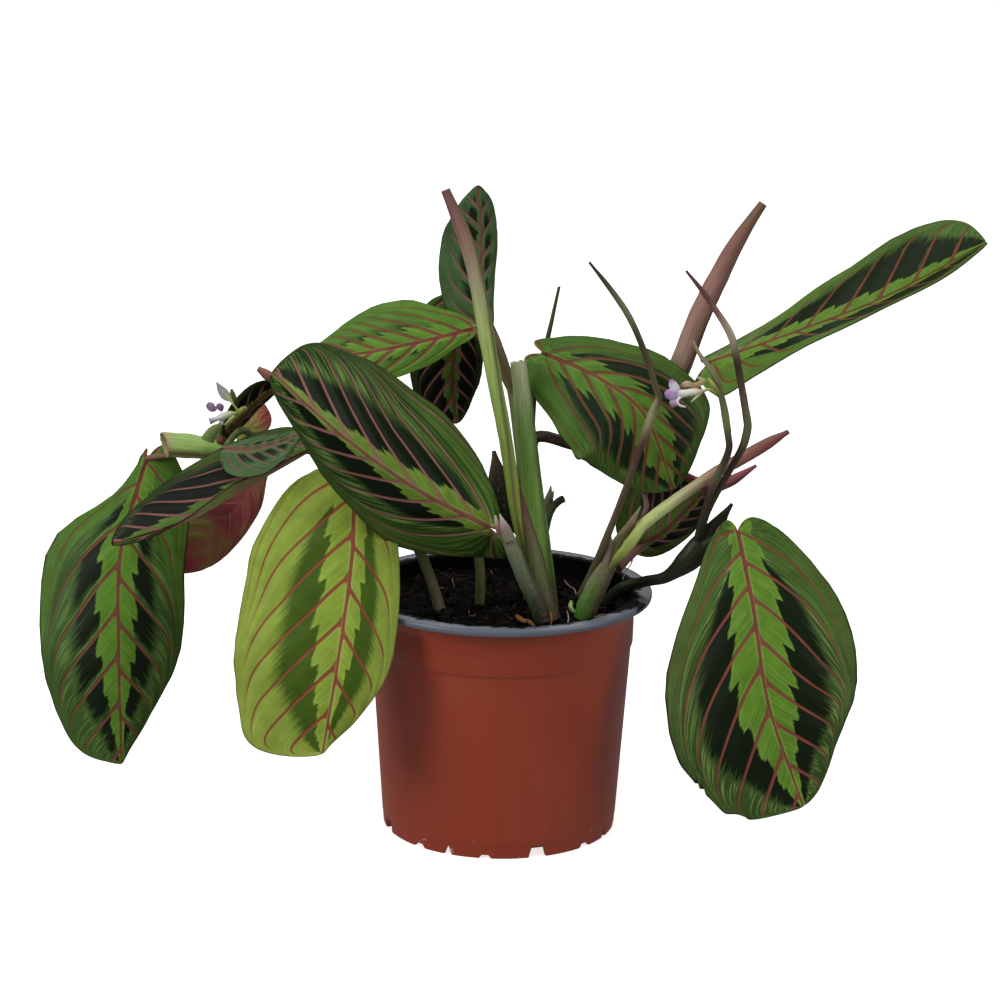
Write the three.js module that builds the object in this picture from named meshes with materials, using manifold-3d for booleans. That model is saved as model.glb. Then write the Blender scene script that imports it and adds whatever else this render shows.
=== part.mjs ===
// A potted prayer plant: a nursery pot full of soil, with leafy shoots, rolled young leaves and
// thin flower stalks. Millimetres, +Z up. The origin is on the pot's axis, at its underside.
import * as THREE from 'three';
import { mergeVertices } from 'three/addons/utils/BufferGeometryUtils.js';
import Module from 'manifold-3d';

const wasm = await Module();
wasm.setup();

// Pot
const POT_HEIGHT = 98;
const RIM_RADIUS = 60;
const LIP_THICKNESS = 2.6;
const LIP_EDGE = 0.8;
const COLLAR_RADIUS = 55;
const COLLAR_FLARE = 2;
const COLLAR_BOTTOM = 90;
const SHOULDER_RADIUS = 52.1;
const SHOULDER_HEIGHT = 76.6;
const BASE_RADIUS = 46.7;
const WALL = 1.1;
const STEP = 0.5;
const FLOOR_UNDERSIDE = 3.6;
const FOOT_HEIGHT = 5.4;
const FOOT_WIDTH = 2.2;
const CENTRE_FOOT_RADIUS = 15;
const POT_SIDES = 40;
const FOOT_TAPER = 1;
const DRAIN_RADIUS = 3.5;
const DRAIN_CIRCLE = 31;
const DRAIN_SIDES = 12;
const QUARTERS = 4;
const NOTCH_TURN = -70.4;
const NOTCH_DEPTH = 8;
// Angle past a quarter's start, width and height of each notch in the foot
const NOTCHES = [[0, 7.5, 4.6], [28, 6, 1.6], [45, 3.6, 3.4], [64, 5, 1.4]];

// Soil
const SOIL_LEVEL = 91;
const SOIL_RINGS = 7;
const SOIL_SECTORS = 28;
const SOIL_SEED = 7;
// Place, height and spread of the heap at the back left
const HEAP = { x: -30, y: 28, height: 7, spread: 16 };
// Number, reach from the middle, greatest rise and dip, and spread of the smaller lumps
const LUMPS = { count: 9, reach: 40, rise: 1.8, dip: 1.2, spread: 6.7 };

// Plant
// Room that neighbours leave a stem, a blade and the pot's wall
const STEM_ROOM = 0.3;
const BLADE_ROOM = 0.45;
const WALL_ROOM = 0.3;
// How far a face may move when a cut or joined piece is made plainer
const TIDY = 0.04;
const BLADE = 0.8;
const VEIN_SWEEP = 0.62;
const BASE_ROWS = 4;
const TIP_ROWS = 7;
const HALF_COLUMNS = 4;
const RIPPLES = 6;
const STEM_SIDES = 6;

// The flat stems have their broad side across this direction
const DEPTH = new THREE.Vector3(0, 1, 0);

const LOOKS = {
  terracotta: new THREE.MeshStandardMaterial({ color: 0x913c28, roughness: 0.5, metalness: 0 }),
  soil: new THREE.MeshStandardMaterial({ color: 0x2a1e19, roughness: 0.95, metalness: 0 }),
  leaf: new THREE.MeshStandardMaterial({ color: 0x48702c, roughness: 0.5, metalness: 0 }),
  youngLeaf: new THREE.MeshStandardMaterial({ color: 0x86a43c, roughness: 0.5, metalness: 0 }),
  stem: new THREE.MeshStandardMaterial({ color: 0x6d8048, roughness: 0.55, metalness: 0 }),
  darkStem: new THREE.MeshStandardMaterial({ color: 0x2c3424, roughness: 0.55, metalness: 0 }),
  rolledLeaf: new THREE.MeshStandardMaterial({ color: 0x8a4a44, roughness: 0.55, metalness: 0 }),
  flower: new THREE.MeshStandardMaterial({ color: 0xe6e0ea, roughness: 0.6, metalness: 0 }),
};

// A draw between 0 and 1 that is the same on every run
function seededDraw(seed) {
  let state = seed;
  return () => {
    state = (state * 1664525 + 1013904223) % 4294967296;
    return state / 4294967296;
  };
}

function toVectors(points) {
  return points.map((point) => new THREE.Vector3(...point));
}

// Values spread evenly from 0 to 1, read smoothly at any share between them
function readSmooth(values, share) {
  const place = Math.min(Math.max(share, 0), 1) * (values.length - 1);
  const index = Math.min(Math.floor(place), values.length - 2);
  const part = place - index;
  const before = values[Math.max(index - 1, 0)];
  const from = values[index];
  const to = values[index + 1];
  const after = values[Math.min(index + 2, values.length - 1)];
  const slopeFrom = (to - before) / 2;
  const slopeTo = (after - from) / 2;
  const cube = 2 * from - 2 * to + slopeFrom + slopeTo;
  const square = -3 * from + 3 * to - 2 * slopeFrom - slopeTo;
  return ((cube * part + square) * part + slopeFrom) * part + from;
}

// A solid from a closed geometry, with its shared vertices merged and its empty faces dropped
function toSolid(geometry) {
  geometry.deleteAttribute('normal');
  geometry.deleteAttribute('uv');
  const merged = mergeVertices(geometry, 1e-3);
  const corners = merged.index.array;
  const triangles = [];
  for (let face = 0; face < corners.length; face += 3) {
    const [a, b, c] = [corners[face], corners[face + 1], corners[face + 2]];
    if (a !== b && b !== c && c !== a) {
      triangles.push(a, b, c);
    }
  }
  const mesh = new wasm.Mesh({
    numProp: 3,
    vertProperties: new Float32Array(merged.attributes.position.array),
    triVerts: new Uint32Array(triangles),
  });
  return new wasm.Manifold(mesh);
}

// Moves every vertex of a geometry by a rule
function bent(geometry, rule) {
  const position = geometry.attributes.position;
  const point = new THREE.Vector3();
  for (let i = 0; i < position.count; i += 1) {
    point.fromBufferAttribute(position, i);
    const moved = rule(point);
    position.setXYZ(i, moved.x, moved.y, moved.z);
  }
  return geometry;
}

// The body that is left of a cut solid, without loose scraps
function withoutScraps(solid) {
  const bodies = solid.decompose();
  bodies.sort((one, other) => other.volume() - one.volume());
  return bodies[0];
}

// A stem bent along a smooth path. Radii are spread evenly along it, and flat is its depth as a
// share of its width
function stem({ points, radii, flat = 1 }, grow) {
  const path = new THREE.CatmullRomCurve3(toVectors(points), false, 'catmullrom', 0.5);
  const rings = Math.ceil((points.length - 1) * 1.5);
  const rod = new THREE.CylinderGeometry(1, 1, 1, STEM_SIDES, rings);
  const shape = bent(rod, (point) => {
    const along = point.y + 0.5;
    const centre = path.getPointAt(along);
    const forward = path.getTangentAt(along);
    const wide = new THREE.Vector3().crossVectors(DEPTH, forward).normalize();
    const deep = new THREE.Vector3().crossVectors(wide, forward);
    const radius = readSmooth(radii, along);
    const past = Math.sign(point.y) * Number(Math.abs(point.y) === 0.5) * grow;
    centre.addScaledVector(wide, point.x * (radius + grow));
    centre.addScaledVector(deep, point.z * (radius * flat + grow));
    centre.addScaledVector(forward, past);
    return centre;
  });
  return toSolid(shape);
}

function stemWithRoom(limb) {
  return { solid: stem(limb, 0), room: stem(limb, STEM_ROOM) };
}

function joined(shapes) {
  return {
    solid: wasm.Manifold.union(shapes.map((shape) => shape.solid)).simplify(TIDY),
    room: wasm.Manifold.union(shapes.map((shape) => shape.room)),
  };
}

// How far along the blade a side vein has run when it is a share across of the way to the margin
function veinRun(across) {
  return VEIN_SWEEP * (0.35 * across + 0.65 * across ** 2.5);
}

// Rows of a blade, close together at the round of each end. Rows below 0 belong to the basal lobes
const VEIN_ROWS = [
  ...Array.from({ length: BASE_ROWS }, (_, row) => (row / BASE_ROWS) ** 1.8 - 1),
  ...Array.from({ length: TIP_ROWS + 1 }, (_, row) => 1 - (1 - row / TIP_ROWS) ** 1.5),
];

// A flat closed slab of rows and columns, split alike on both faces and mirrored about its middle
function slabGrid() {
  const rows = VEIN_ROWS.length;
  const columns = HALF_COLUMNS * 2 + 1;
  const positions = [];
  for (const face of [1, -1]) {
    for (let row = 0; row < rows; row += 1) {
      for (let column = 0; column < columns; column += 1) {
        positions.push(column / HALF_COLUMNS - 1, row, face);
      }
    }
  }
  const at = (row, column, face) => (face * rows + row) * columns + column;
  const triangles = [];
  for (let row = 0; row < rows - 1; row += 1) {
    for (let column = 0; column < columns - 1; column += 1) {
      const corners = [[row, column], [row, column + 1], [row + 1, column + 1], [row + 1, column]];
      const first = column < HALF_COLUMNS ? 0 : 1;
      const ring = [0, 1, 2, 3].map((step) => corners[(first + step) % 4]);
      const [a, b, c, d] = ring.map(([r, q]) => at(r, q, 0));
      const [e, f, g, h] = ring.map(([r, q]) => at(r, q, 1));
      triangles.push(a, b, c, a, c, d, g, f, e, h, g, e);
    }
  }
  const margin = [];
  for (let column = 0; column < columns - 1; column += 1) {
    margin.push([0, column]);
  }
  for (let row = 0; row < rows - 1; row += 1) {
    margin.push([row, columns - 1]);
  }
  for (let column = columns - 1; column > 0; column -= 1) {
    margin.push([rows - 1, column]);
  }
  for (let row = rows - 1; row > 0; row -= 1) {
    margin.push([row, 0]);
  }
  margin.forEach(([row, column], index) => {
    const [nextRow, nextColumn] = margin[(index + 1) % margin.length];
    const [a, b] = [at(row, column, 0), at(nextRow, nextColumn, 0)];
    const [c, d] = [at(row, column, 1), at(nextRow, nextColumn, 1)];
    triangles.push(c, d, b, c, b, a);
  });
  const geometry = new THREE.BufferGeometry();
  geometry.setAttribute('position', new THREE.Float32BufferAttribute(positions, 3));
  geometry.setIndex(triangles);
  return geometry;
}

// A blade: side veins leave the midrib one after another and sweep to the tip, and the veins of
// the basal lobes fan out of its foot. The half widths are read at even angles of a half turn,
// so that they lie close together at both ends. Grow swells it on every side
function blade(leaf, grow) {
  const path = new THREE.CatmullRomCurve3(toVectors(leaf.spine), false, 'catmullrom', 0.5);
  const faces = toVectors(leaf.face);
  const shape = bent(slabGrid(), (point) => {
    const across = Math.abs(point.x) ** 0.85;
    const side = point.x < 0 ? 0 : 1;
    const vein = VEIN_ROWS[point.y];
    const run = veinRun(across);
    const along = vein < 0 ? (1 + vein) * run : Math.min(vein + (1 - vein) * run, 1);
    const lobe = vein < 0 ? leaf.lobe[side] * Math.sin(Math.PI * across ** 0.75) * vein ** 4 : 0;
    const blunt = vein > 0 ? leaf.blunt[side] * across ** 2 * vein ** 3 * Math.sqrt(1 - vein) : 0;
    const centre = path.getPointAt(along);
    const forward = path.getTangentAt(along);
    const beyond = grow * (Number(point.y === VEIN_ROWS.length - 1) - Number(point.y === 0));
    centre.addScaledVector(forward, blunt - lobe + beyond);
    const facing = new THREE.Vector3(
      readSmooth(faces.map((face) => face.x), along),
      readSmooth(faces.map((face) => face.y), along),
      readSmooth(faces.map((face) => face.z), along),
    );
    facing.addScaledVector(forward, -facing.dot(forward)).normalize();
    const right = new THREE.Vector3().crossVectors(forward, facing);
    const angle = Math.acos(1 - 2 * along) / Math.PI;
    const widths = side === 0 ? leaf.left : leaf.right;
    const halfWidth = Math.max(readSmooth([...widths, 0], angle), 0) + grow;
    const fold = THREE.MathUtils.degToRad(readSmooth(leaf.fold[side], along));
    const curl = THREE.MathUtils.degToRad(leaf.curl[side]);
    const turned = fold + curl * across;
    const out = (halfWidth / curl) * (Math.sin(turned) - Math.sin(fold));
    const rise = (halfWidth / curl) * (Math.cos(fold) - Math.cos(turned));
    const ripple = leaf.ripple * across ** 3 * Math.sin(Math.PI * RIPPLES * along + side * 2);
    const sign = side === 0 ? -1 : 1;
    const lean = point.x === 0 ? 0 : turned;
    const lift = point.z * (BLADE / 2 + grow);
    centre.addScaledVector(right, sign * (out - lift * Math.sin(lean)));
    centre.addScaledVector(facing, rise + ripple + lift * Math.cos(lean));
    return centre;
  });
  return toSolid(shape);
}

const LEAVES = {
  // Far left, hangs from the end of the left stem
  leaf_01: {
    look: 'leaf', lobe: [8, 5], ripple: 0.8,
    spine: [[-143, 15, 144], [-152, 0, 110], [-152, -12, 71], [-151, -16, 27]],
    face: [[-0.2, -0.9, 0.3], [-0.1, -0.95, 0.1], [0, -1, -0.1]],
    left: [14, 19, 24, 26, 27, 23, 12, 3],
    right: [3, 4, 11, 31, 34, 32, 26, 16],
    fold: [[-10, -10, -10], [0, 0, 0]], curl: [-25, -20], blunt: [0, 4],
  },
  // Pale young leaf that hangs in front of the pot's left side
  leaf_02: {
    look: 'youngLeaf', lobe: [4, 4], ripple: 0.8,
    spine: [[-58, -24, 150], [-58, -42, 122], [-62.5, -60, 85], [-68, -68, 50.5]],
    face: [[0.1, -0.95, 0.3], [0, -1, 0.1], [0, -1, 0]],
    left: [10, 14, 16, 19, 21, 20, 12, 3],
    right: [17, 25, 34, 40, 41, 41, 36, 26],
    fold: [[-5, -5, -5], [0, 0, 0]], curl: [-15, -20], blunt: [0, 31],
  },
  // Broad glossy leaf in front of the middle
  leaf_03: {
    look: 'leaf', lobe: [18, 6], ripple: 0.6,
    spine: [[-5, -24, 129], [-34, -44, 150], [-62, -60, 175], [-87, -66, 200]],
    face: [[0.6, -0.62, 0.3], [0.6, -0.62, 0.32], [0.5, -0.7, 0.3]],
    left: [14, 18, 23, 25.5, 21.5, 16, 10, 5],
    right: [6, 20, 32, 38, 39, 36, 30, 19],
    fold: [[-38, -47, -52], [0, 0, 0]], curl: [-20, -15], blunt: [0, 0],
  },
  // Bright leaf behind it
  leaf_04: {
    look: 'leaf', lobe: [2, 2], ripple: 0.5,
    spine: [[-13, 18, 199], [-33, 12, 195], [-55, 8, 191], [-80, 5, 188]],
    face: [[0, -0.85, 0.55], [0, -0.85, 0.55], [0, -0.85, 0.55]],
    left: [2, 4, 6, 10, 12, 11, 8, 4],
    right: [3, 8, 14, 20, 21, 16, 9, 3],
    fold: [[0, 0, 0], [0, 0, 0]], curl: [-20, -20], blunt: [0, 0],
  },
  // Two dark leaves at the back
  leaf_05: {
    look: 'leaf', lobe: [3, 3], ripple: 0.8,
    spine: [[-16, 33, 209], [-20, 35, 189], [-21, 35, 172], [-19, 33, 157]],
    face: [[0, -1, 0.1], [0, -1, 0.1], [0, -1, 0.1]],
    left: [3, 6, 9, 11, 12, 11, 7, 3],
    right: [6, 10, 15, 17, 18, 17, 13, 6],
    fold: [[0, 0, 0], [0, 0, 0]], curl: [-20, -20], blunt: [0, 0],
  },
  leaf_06: {
    look: 'leaf', lobe: [2, 2], ripple: 0.6,
    spine: [[-7, 28, 198], [-10, 30, 217], [-10, 30, 235], [-12, 28, 255]],
    face: [[0, -1, 0.1], [0, -1, 0.1], [0, -1, 0.1]],
    left: [4, 8, 15, 17, 17, 15, 9, 3],
    right: [2, 3, 4, 6, 7, 7, 6, 3],
    fold: [[0, 0, 0], [-20, -20, -20]], curl: [-20, -20], blunt: [0, 0],
  },
  // Dark leaf with pink veins that reaches to the left
  leaf_07: {
    look: 'leaf', lobe: [3, 3], ripple: 0.6,
    spine: [[-74, -12, 157], [-99, -22, 144], [-124, -30, 131], [-151, -38, 124]],
    face: [[-0.1, -0.75, 0.65], [-0.1, -0.75, 0.65], [-0.1, -0.8, 0.6]],
    left: [2, 4, 6, 7, 7, 6, 4, 2],
    right: [10, 15, 20, 22, 23, 20, 14, 6],
    fold: [[60, 80, 20], [0, 0, 0]], curl: [20, -15], blunt: [0, 0],
  },
  // Leaf seen from its reddish underside
  leaf_08: {
    look: 'leaf', lobe: [3, 3], ripple: 0.8,
    spine: [[-97, 18, 143], [-106, 24, 126], [-121, 28, 109], [-138, 30, 96]],
    face: [[0.2, 0.95, 0.2], [0.2, 0.95, 0.2], [0.2, 0.95, 0.2]],
    left: [4, 6, 9, 12, 13, 12, 10, 6],
    right: [3, 4, 6, 9, 11, 12, 10, 6],
    fold: [[0, 0, 0], [0, 0, 0]], curl: [15, 15], blunt: [0, 0],
  },
  // Small curled leaves about the left flower
  leaf_09: {
    look: 'leaf', lobe: [2, 2], ripple: 0.5,
    spine: [[-108, -22, 159], [-98, -26, 160], [-88, -28, 163], [-78, -28, 167]],
    face: [[0, -0.9, 0.35], [0, -0.9, 0.35], [0, -0.9, 0.35]],
    left: [1, 2, 4, 5, 5, 4, 3, 1],
    right: [6, 9, 11, 12, 11, 8, 4, 1.5],
    fold: [[-20, -20, -20], [0, 0, 0]], curl: [-10, 30], blunt: [0, 0],
  },
  leaf_10: {
    look: 'leaf', lobe: [1, 1], ripple: 0.3,
    spine: [[-110, 0, 158], [-103, 2, 166], [-96, 4, 173], [-86, 6, 180]],
    face: [[0.3, -0.9, 0], [0.3, -0.9, 0], [0.3, -0.9, 0]],
    left: [2, 4, 6, 8.5, 9, 8, 5, 2],
    right: [2, 3, 4, 4.5, 4.5, 4, 3, 1.5],
    fold: [[10, 10, 10], [-30, -30, -30]], curl: [20, -20], blunt: [0, 0],
  },
  leaf_11: {
    look: 'leaf', lobe: [1, 1], ripple: 0.3,
    spine: [[-105, 11, 153], [-102, 12, 158], [-98, 13, 162], [-96, 14, 169]],
    face: [[0, 1, 0.01], [0, 1, 0.01], [0, 1, 0.01]],
    left: [1, 3, 5, 6, 6, 5, 3, 1],
    right: [1, 2, 4, 5, 5, 4, 3, 1],
    fold: [[0, 0, 0], [0, 0, 0]], curl: [20, 20], blunt: [0, 0],
  },
  // Broad leaf right of the middle
  leaf_12: {
    look: 'leaf', lobe: [7, 7], ripple: 0.6,
    spine: [[16, 10, 191], [37, 0, 184], [55, -8, 171], [67, -10, 142]],
    face: [[0.1, -0.85, 0.5], [0.2, -0.9, 0.4], [0.3, -0.95, 0.1]],
    left: [8, 11, 15, 20, 25, 27.5, 17, 8],
    right: [12, 17, 22, 28, 31.5, 29, 21, 11],
    fold: [[0, 0, 0], [0, 0, 0]], curl: [-20, -20], blunt: [0, 0],
  },
  // Long leaf that reaches out at the right
  leaf_13: {
    look: 'leaf', lobe: [6, 6], ripple: 0.6,
    spine: [[82, 12, 189], [115, 5, 203], [148, 0, 218], [186, -5, 241]],
    face: [[-0.3, -0.7, 0.6], [-0.3, -0.8, 0.5], [-0.3, -0.85, 0.45]],
    left: [18, 19, 18, 18, 20, 22, 20, 13],
    right: [18, 18, 15, 14, 14.5, 15, 13, 6],
    fold: [[-45, -10, 0], [0, 45, 50]], curl: [-10, 10], blunt: [0, 0],
  },
  // Right leaf that hangs from the dark stem
  leaf_14: {
    look: 'leaf', lobe: [5, 5], ripple: 1,
    spine: [[92, -20, 128], [98, -38, 101], [104, -52, 67], [118, -60, 29]],
    face: [[0.1, -0.9, 0.4], [0, -0.95, 0.3], [0.05, -1, 0.15]],
    left: [16, 20, 28, 36, 38.5, 34, 20, 9],
    right: [9, 13, 20, 30, 38, 40.5, 34, 24],
    fold: [[0, 0, 0], [0, 0, 0]], curl: [-20, -20], blunt: [0, 9],
  },
  // Leaf behind the cut stalk at the right
  leaf_15: {
    look: 'leaf', lobe: [5, 3], ripple: 0.6,
    spine: [[53, 6, 114], [63, 9, 118], [73, 13, 127], [83, 16, 138]],
    face: [[0.2, -0.95, 0.2], [0.2, -0.95, 0.2], [0.2, -0.95, 0.2]],
    left: [16, 20, 23, 23, 21, 17, 11, 5],
    right: [3, 5, 7, 8, 9, 8, 6, 3],
    fold: [[0, 0, 0], [0, 0, 0]], curl: [-20, -20], blunt: [0, 0],
  },
};

// Stems, stalks, rolled leaves and flowers. Each limb has a path and radii spread evenly along it
const STEMS = {
  // Main shoot: a rolled leaf, a cut stalk and the sheathed stalk of the glossy leaf
  rolled_leaf_1: {
    look: 'rolledLeaf',
    limbs: [{
      points: [[20, -20, 82], [7.5, -15, 135], [-2, -11, 161], [-7.6, -7, 192], [-12, -3, 219],
        [-19, 0, 240], [-24, 2, 258]],
      radii: [4.4, 4.4, 4.6, 4.5, 4, 3.3, 1.9],
    }],
  },
  cut_stalk: {
    look: 'stem',
    limbs: [{
      points: [[20, -8, 81], [13, -6, 128], [8.7, -4, 160], [7, -3, 176], [5, -2, 191]],
      radii: [4, 4.6, 4.4, 4.2, 3.2],
    }],
  },
  stalk_3: {
    look: 'stem',
    limbs: [{
      points: [[17, -29, 84], [9, -28, 105], [3, -27, 120], [-3.5, -24, 131]],
      radii: [4, 4.5, 4.6, 3.4],
    }],
  },
  // Left stem, which carries five leaves and ends in an open sheath
  stem_left: {
    look: 'stem',
    limbs: [
      {
        points: [[-22, -8, 82], [-29, -8, 105], [-36, -7, 120], [-51, -4, 139], [-67, 2, 150],
          [-81, 6, 152],
          [-96, 8, 151], [-112, 9, 149], [-128, 12, 148], [-143, 15, 145]],
        radii: [2.6, 2.2, 2.1, 2, 1.8, 1.8, 1.6, 1.6, 1.5, 1.2],
      },
      { points: [[-106, 9, 150], [-120, 9, 151], [-136, 11, 152]], radii: [3.4, 5.4, 5] },
      { points: [[-64, 1, 149], [-70, -5, 154], [-74, -12, 157]], radii: [1.6, 1.5, 1.3] },
      { points: [[-88, 7, 151], [-93, 12, 148], [-97, 18, 143]], radii: [1.6, 1.4, 1.2] },
      {
        points: [[-98, 8, 151], [-101, 0, 160], [-104, -11, 163], [-108, -21, 160]],
        radii: [1.5, 1.5, 1.4, 1.2],
      },
      { points: [[-106, 9, 150], [-109, 5, 155], [-110, 0, 159]], radii: [1.5, 1.4, 1.2] },
      {
        points: [[-104, 7, 151], [-112, -2, 158], [-112, -4, 163], [-110, -5, 167]],
        radii: [1.4, 1.6, 1.6, 0.8],
      },
    ],
  },
  stalk_2: {
    look: 'stem',
    limbs: [{
      points: [[-9, 0, 82], [-9, -2, 108], [-14, -4, 128], [-24, -7, 140], [-38, -12, 147], [-50, -18, 151],
        [-57, -24, 151]],
      radii: [2, 2, 1.8, 1.7, 1.6, 1.5, 1.3],
    }],
  },
  // Stem at the back with three leaves and a dark sheath
  stem_back: {
    look: 'stem',
    limbs: [
      {
        points: [[12, 8, 82], [9, 12, 131], [6, 17, 154], [2.4, 21, 175], [-2, 25, 187], [-5, 27.4, 196]],
        radii: [3, 2.8, 2.6, 2.2, 1.8, 1.6],
      },
      { points: [[3, 20, 173], [-6, 20, 190], [-13, 18, 199]], radii: [1.5, 1.4, 1.2] },
      {
        points: [[3, 22, 176], [-4, 33, 193], [-10, 36, 203], [-15, 35, 209]],
        radii: [1.5, 1.4, 1.4, 1.2],
      },
      {
        points: [[9, 12, 116], [4, 9, 124], [-1, 8, 136], [-4, 8, 152]],
        radii: [2.5, 4.6, 4.4, 0.8], flat: 0.35,
      },
    ],
  },
  // Stem behind the broad leaf, which carries it, the long leaf and a rolled one
  stem_behind: {
    look: 'darkStem',
    limbs: [
      {
        points: [[11, 20, 82], [9, 22, 128], [11, 23, 150], [15, 21, 155], [28, 19, 152], [52, 18, 145],
          [73, 13, 142]],
        radii: [2.4, 2.2, 2.2, 2.4, 2.2, 1.8, 1.6],
      },
      { points: [[10, 22, 146], [10, 17, 175], [16, 11, 190]], radii: [1.6, 1.6, 1.4] },
      { points: [[64, 15, 143], [71, 13, 165], [77, 12, 181], [82, 12, 188]], radii: [1.6, 1.5, 1.5, 1.4] },
      { points: [[11, 22, 150], [12, 23, 174], [17, 22, 196], [21, 22, 216]], radii: [1.3, 1.2, 1, 0.6] },
    ],
  },
  rolled_leaf_3: {
    look: 'rolledLeaf',
    limbs: [{
      points: [[56, 20, 147], [64, 19, 170], [71, 19, 189], [77, 20, 206], [84, 22, 221], [92, 24, 236],
        [101, 25, 250]],
      radii: [2, 4, 4.7, 4.5, 4.2, 3.4, 1.9],
    }],
  },
  // Right shoot with its pale stalk and rolled tip
  rolled_leaf_4: {
    look: 'stem',
    limbs: [
      {
        points: [[31, -18, 82], [37, -18, 103], [45, -17, 118], [55, -16, 130], [70, -16, 142],
          [82, -16, 150],
          [95, -15, 160], [111, -14, 167]],
        radii: [4, 4.4, 4.2, 2.8, 2.3, 2.4, 2.8, 1],
      },
      { points: [[40, -15, 105], [47, -5, 111], [53, 4, 113]], radii: [1.6, 1.5, 1.4] },
      { points: [[48, -15, 120], [55, -9, 134], [51, -6, 146]], radii: [1.4, 1.5, 0.7] },
    ],
  },
  bract_5: {
    look: 'rolledLeaf',
    limbs: [{
      points: [[72, 13, 142], [82, 6, 139], [90, 4, 142], [100, 2, 149]],
      radii: [1.6, 2.2, 2.2, 0.7],
    }],
  },
  // Dark stem over the rim, which carries the right leaf and two flower stalks
  stem_dark: {
    look: 'darkStem',
    limbs: [
      {
        points: [[38, 5, 84], [46, 0, 97], [56, -5, 102.4], [65, -8, 105.5], [74, -11, 114], [83, -11, 126],
          [90, -12, 137]],
        radii: [2.2, 2.2, 2.3, 3, 3.6, 2.4, 1],
      },
      { points: [[76, -11, 117], [84, -15, 124], [91, -19, 128]], radii: [2, 1.8, 1.5] },
    ],
  },
  flower_stalk_1: {
    look: 'darkStem',
    limbs: [{
      points: [[37, -20, 110], [42, -26, 131], [47, -30, 146], [51, -31, 161], [55, -31, 172],
        [59, -30, 183],
        [54, -28, 200], [50, -27, 208], [45, -26, 217], [31, -24, 235]],
      radii: [1.6, 1.6, 1.5, 1.4, 1.5, 1.7, 1.3, 1.2, 1.4, 0.6],
    }],
  },
  flower_stalk_2: {
    look: 'darkStem',
    limbs: [{
      points: [[78, -13, 119], [82, -22, 142], [88, -27, 154], [94, -27, 171], [90, -25, 192],
        [85, -24, 209],
        [79, -23, 218], [69, -22, 232]],
      radii: [1.6, 1.6, 1.5, 1.6, 1.4, 1.3, 1.4, 0.6],
    }],
  },
  flower_stalk_3: {
    look: 'darkStem',
    limbs: [{
      points: [[74, -13, 116], [80, -27, 142], [84, -31, 156], [87, -31, 168], [85, -29, 179],
        [83, -28, 186],
        [72, -26, 203]],
      radii: [1.5, 1.5, 1.4, 1.5, 1.3, 1.1, 0.6],
    }],
  },
  // Small dark shoot in the soil behind the main one
  shoot_small: {
    look: 'darkStem',
    limbs: [
      { points: [[13, 3, 84], [14, 5, 108], [18, 4, 125], [23, 3, 135]], radii: [1.6, 2.2, 2.4, 1.6] },
      { points: [[15, 5, 114], [17, 5, 127], [17, 6, 139]], radii: [1.6, 1.6, 0.8] },
    ],
  },
  bud_left: {
    look: 'rolledLeaf',
    limbs: [{ points: [[-88, 5, 180], [-92, 1, 182], [-97, 0, 186]], radii: [1, 1.9, 2.2] }],
  },
  // White flowers: a stalk, a tube and flat petals
  flower_left: {
    look: 'flower',
    limbs: [
      {
        points: [[-109, 0, 160], [-109, -8, 167], [-103, -18, 171], [-106, -20, 172]],
        radii: [0.8, 0.8, 0.8, 1.2],
      },
      { points: [[-104, -20, 172], [-109, -20, 171], [-115, -20, 169]], radii: [1.1, 1.4, 1.6] },
      { points: [[-103, -19, 172], [-107, -18, 178], [-113, -19, 185]], radii: [0.9, 1.9, 1], flat: 0.35 },
      { points: [[-107, -20, 172], [-110, -20, 176], [-115, -21, 177]], radii: [1, 1.7, 1.4], flat: 0.35 },
    ],
  },
  flower_right: {
    look: 'flower',
    limbs: [
      { points: [[84, -28, 185], [80, -30, 187], [76, -30, 187]], radii: [0.8, 0.8, 1.2] },
      { points: [[78, -30, 187], [71, -31, 186], [66, -32, 185]], radii: [1.2, 1.7, 1.8] },
      { points: [[68, -32, 186], [65, -33, 189], [63, -33, 191]], radii: [1, 1.9, 1.3], flat: 0.35 },
      { points: [[68, -32, 185], [64, -34, 186], [61, -34, 186]], radii: [1, 1.9, 1.3], flat: 0.35 },
      { points: [[68, -32, 185], [65, -33, 182], [64, -33, 180]], radii: [1, 1.9, 1.3], flat: 0.35 },
      { points: [[79, -30, 188], [74, -30, 190], [68, -29, 191]], radii: [0.9, 1, 0.8], flat: 0.5 },
    ],
  },
};

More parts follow.
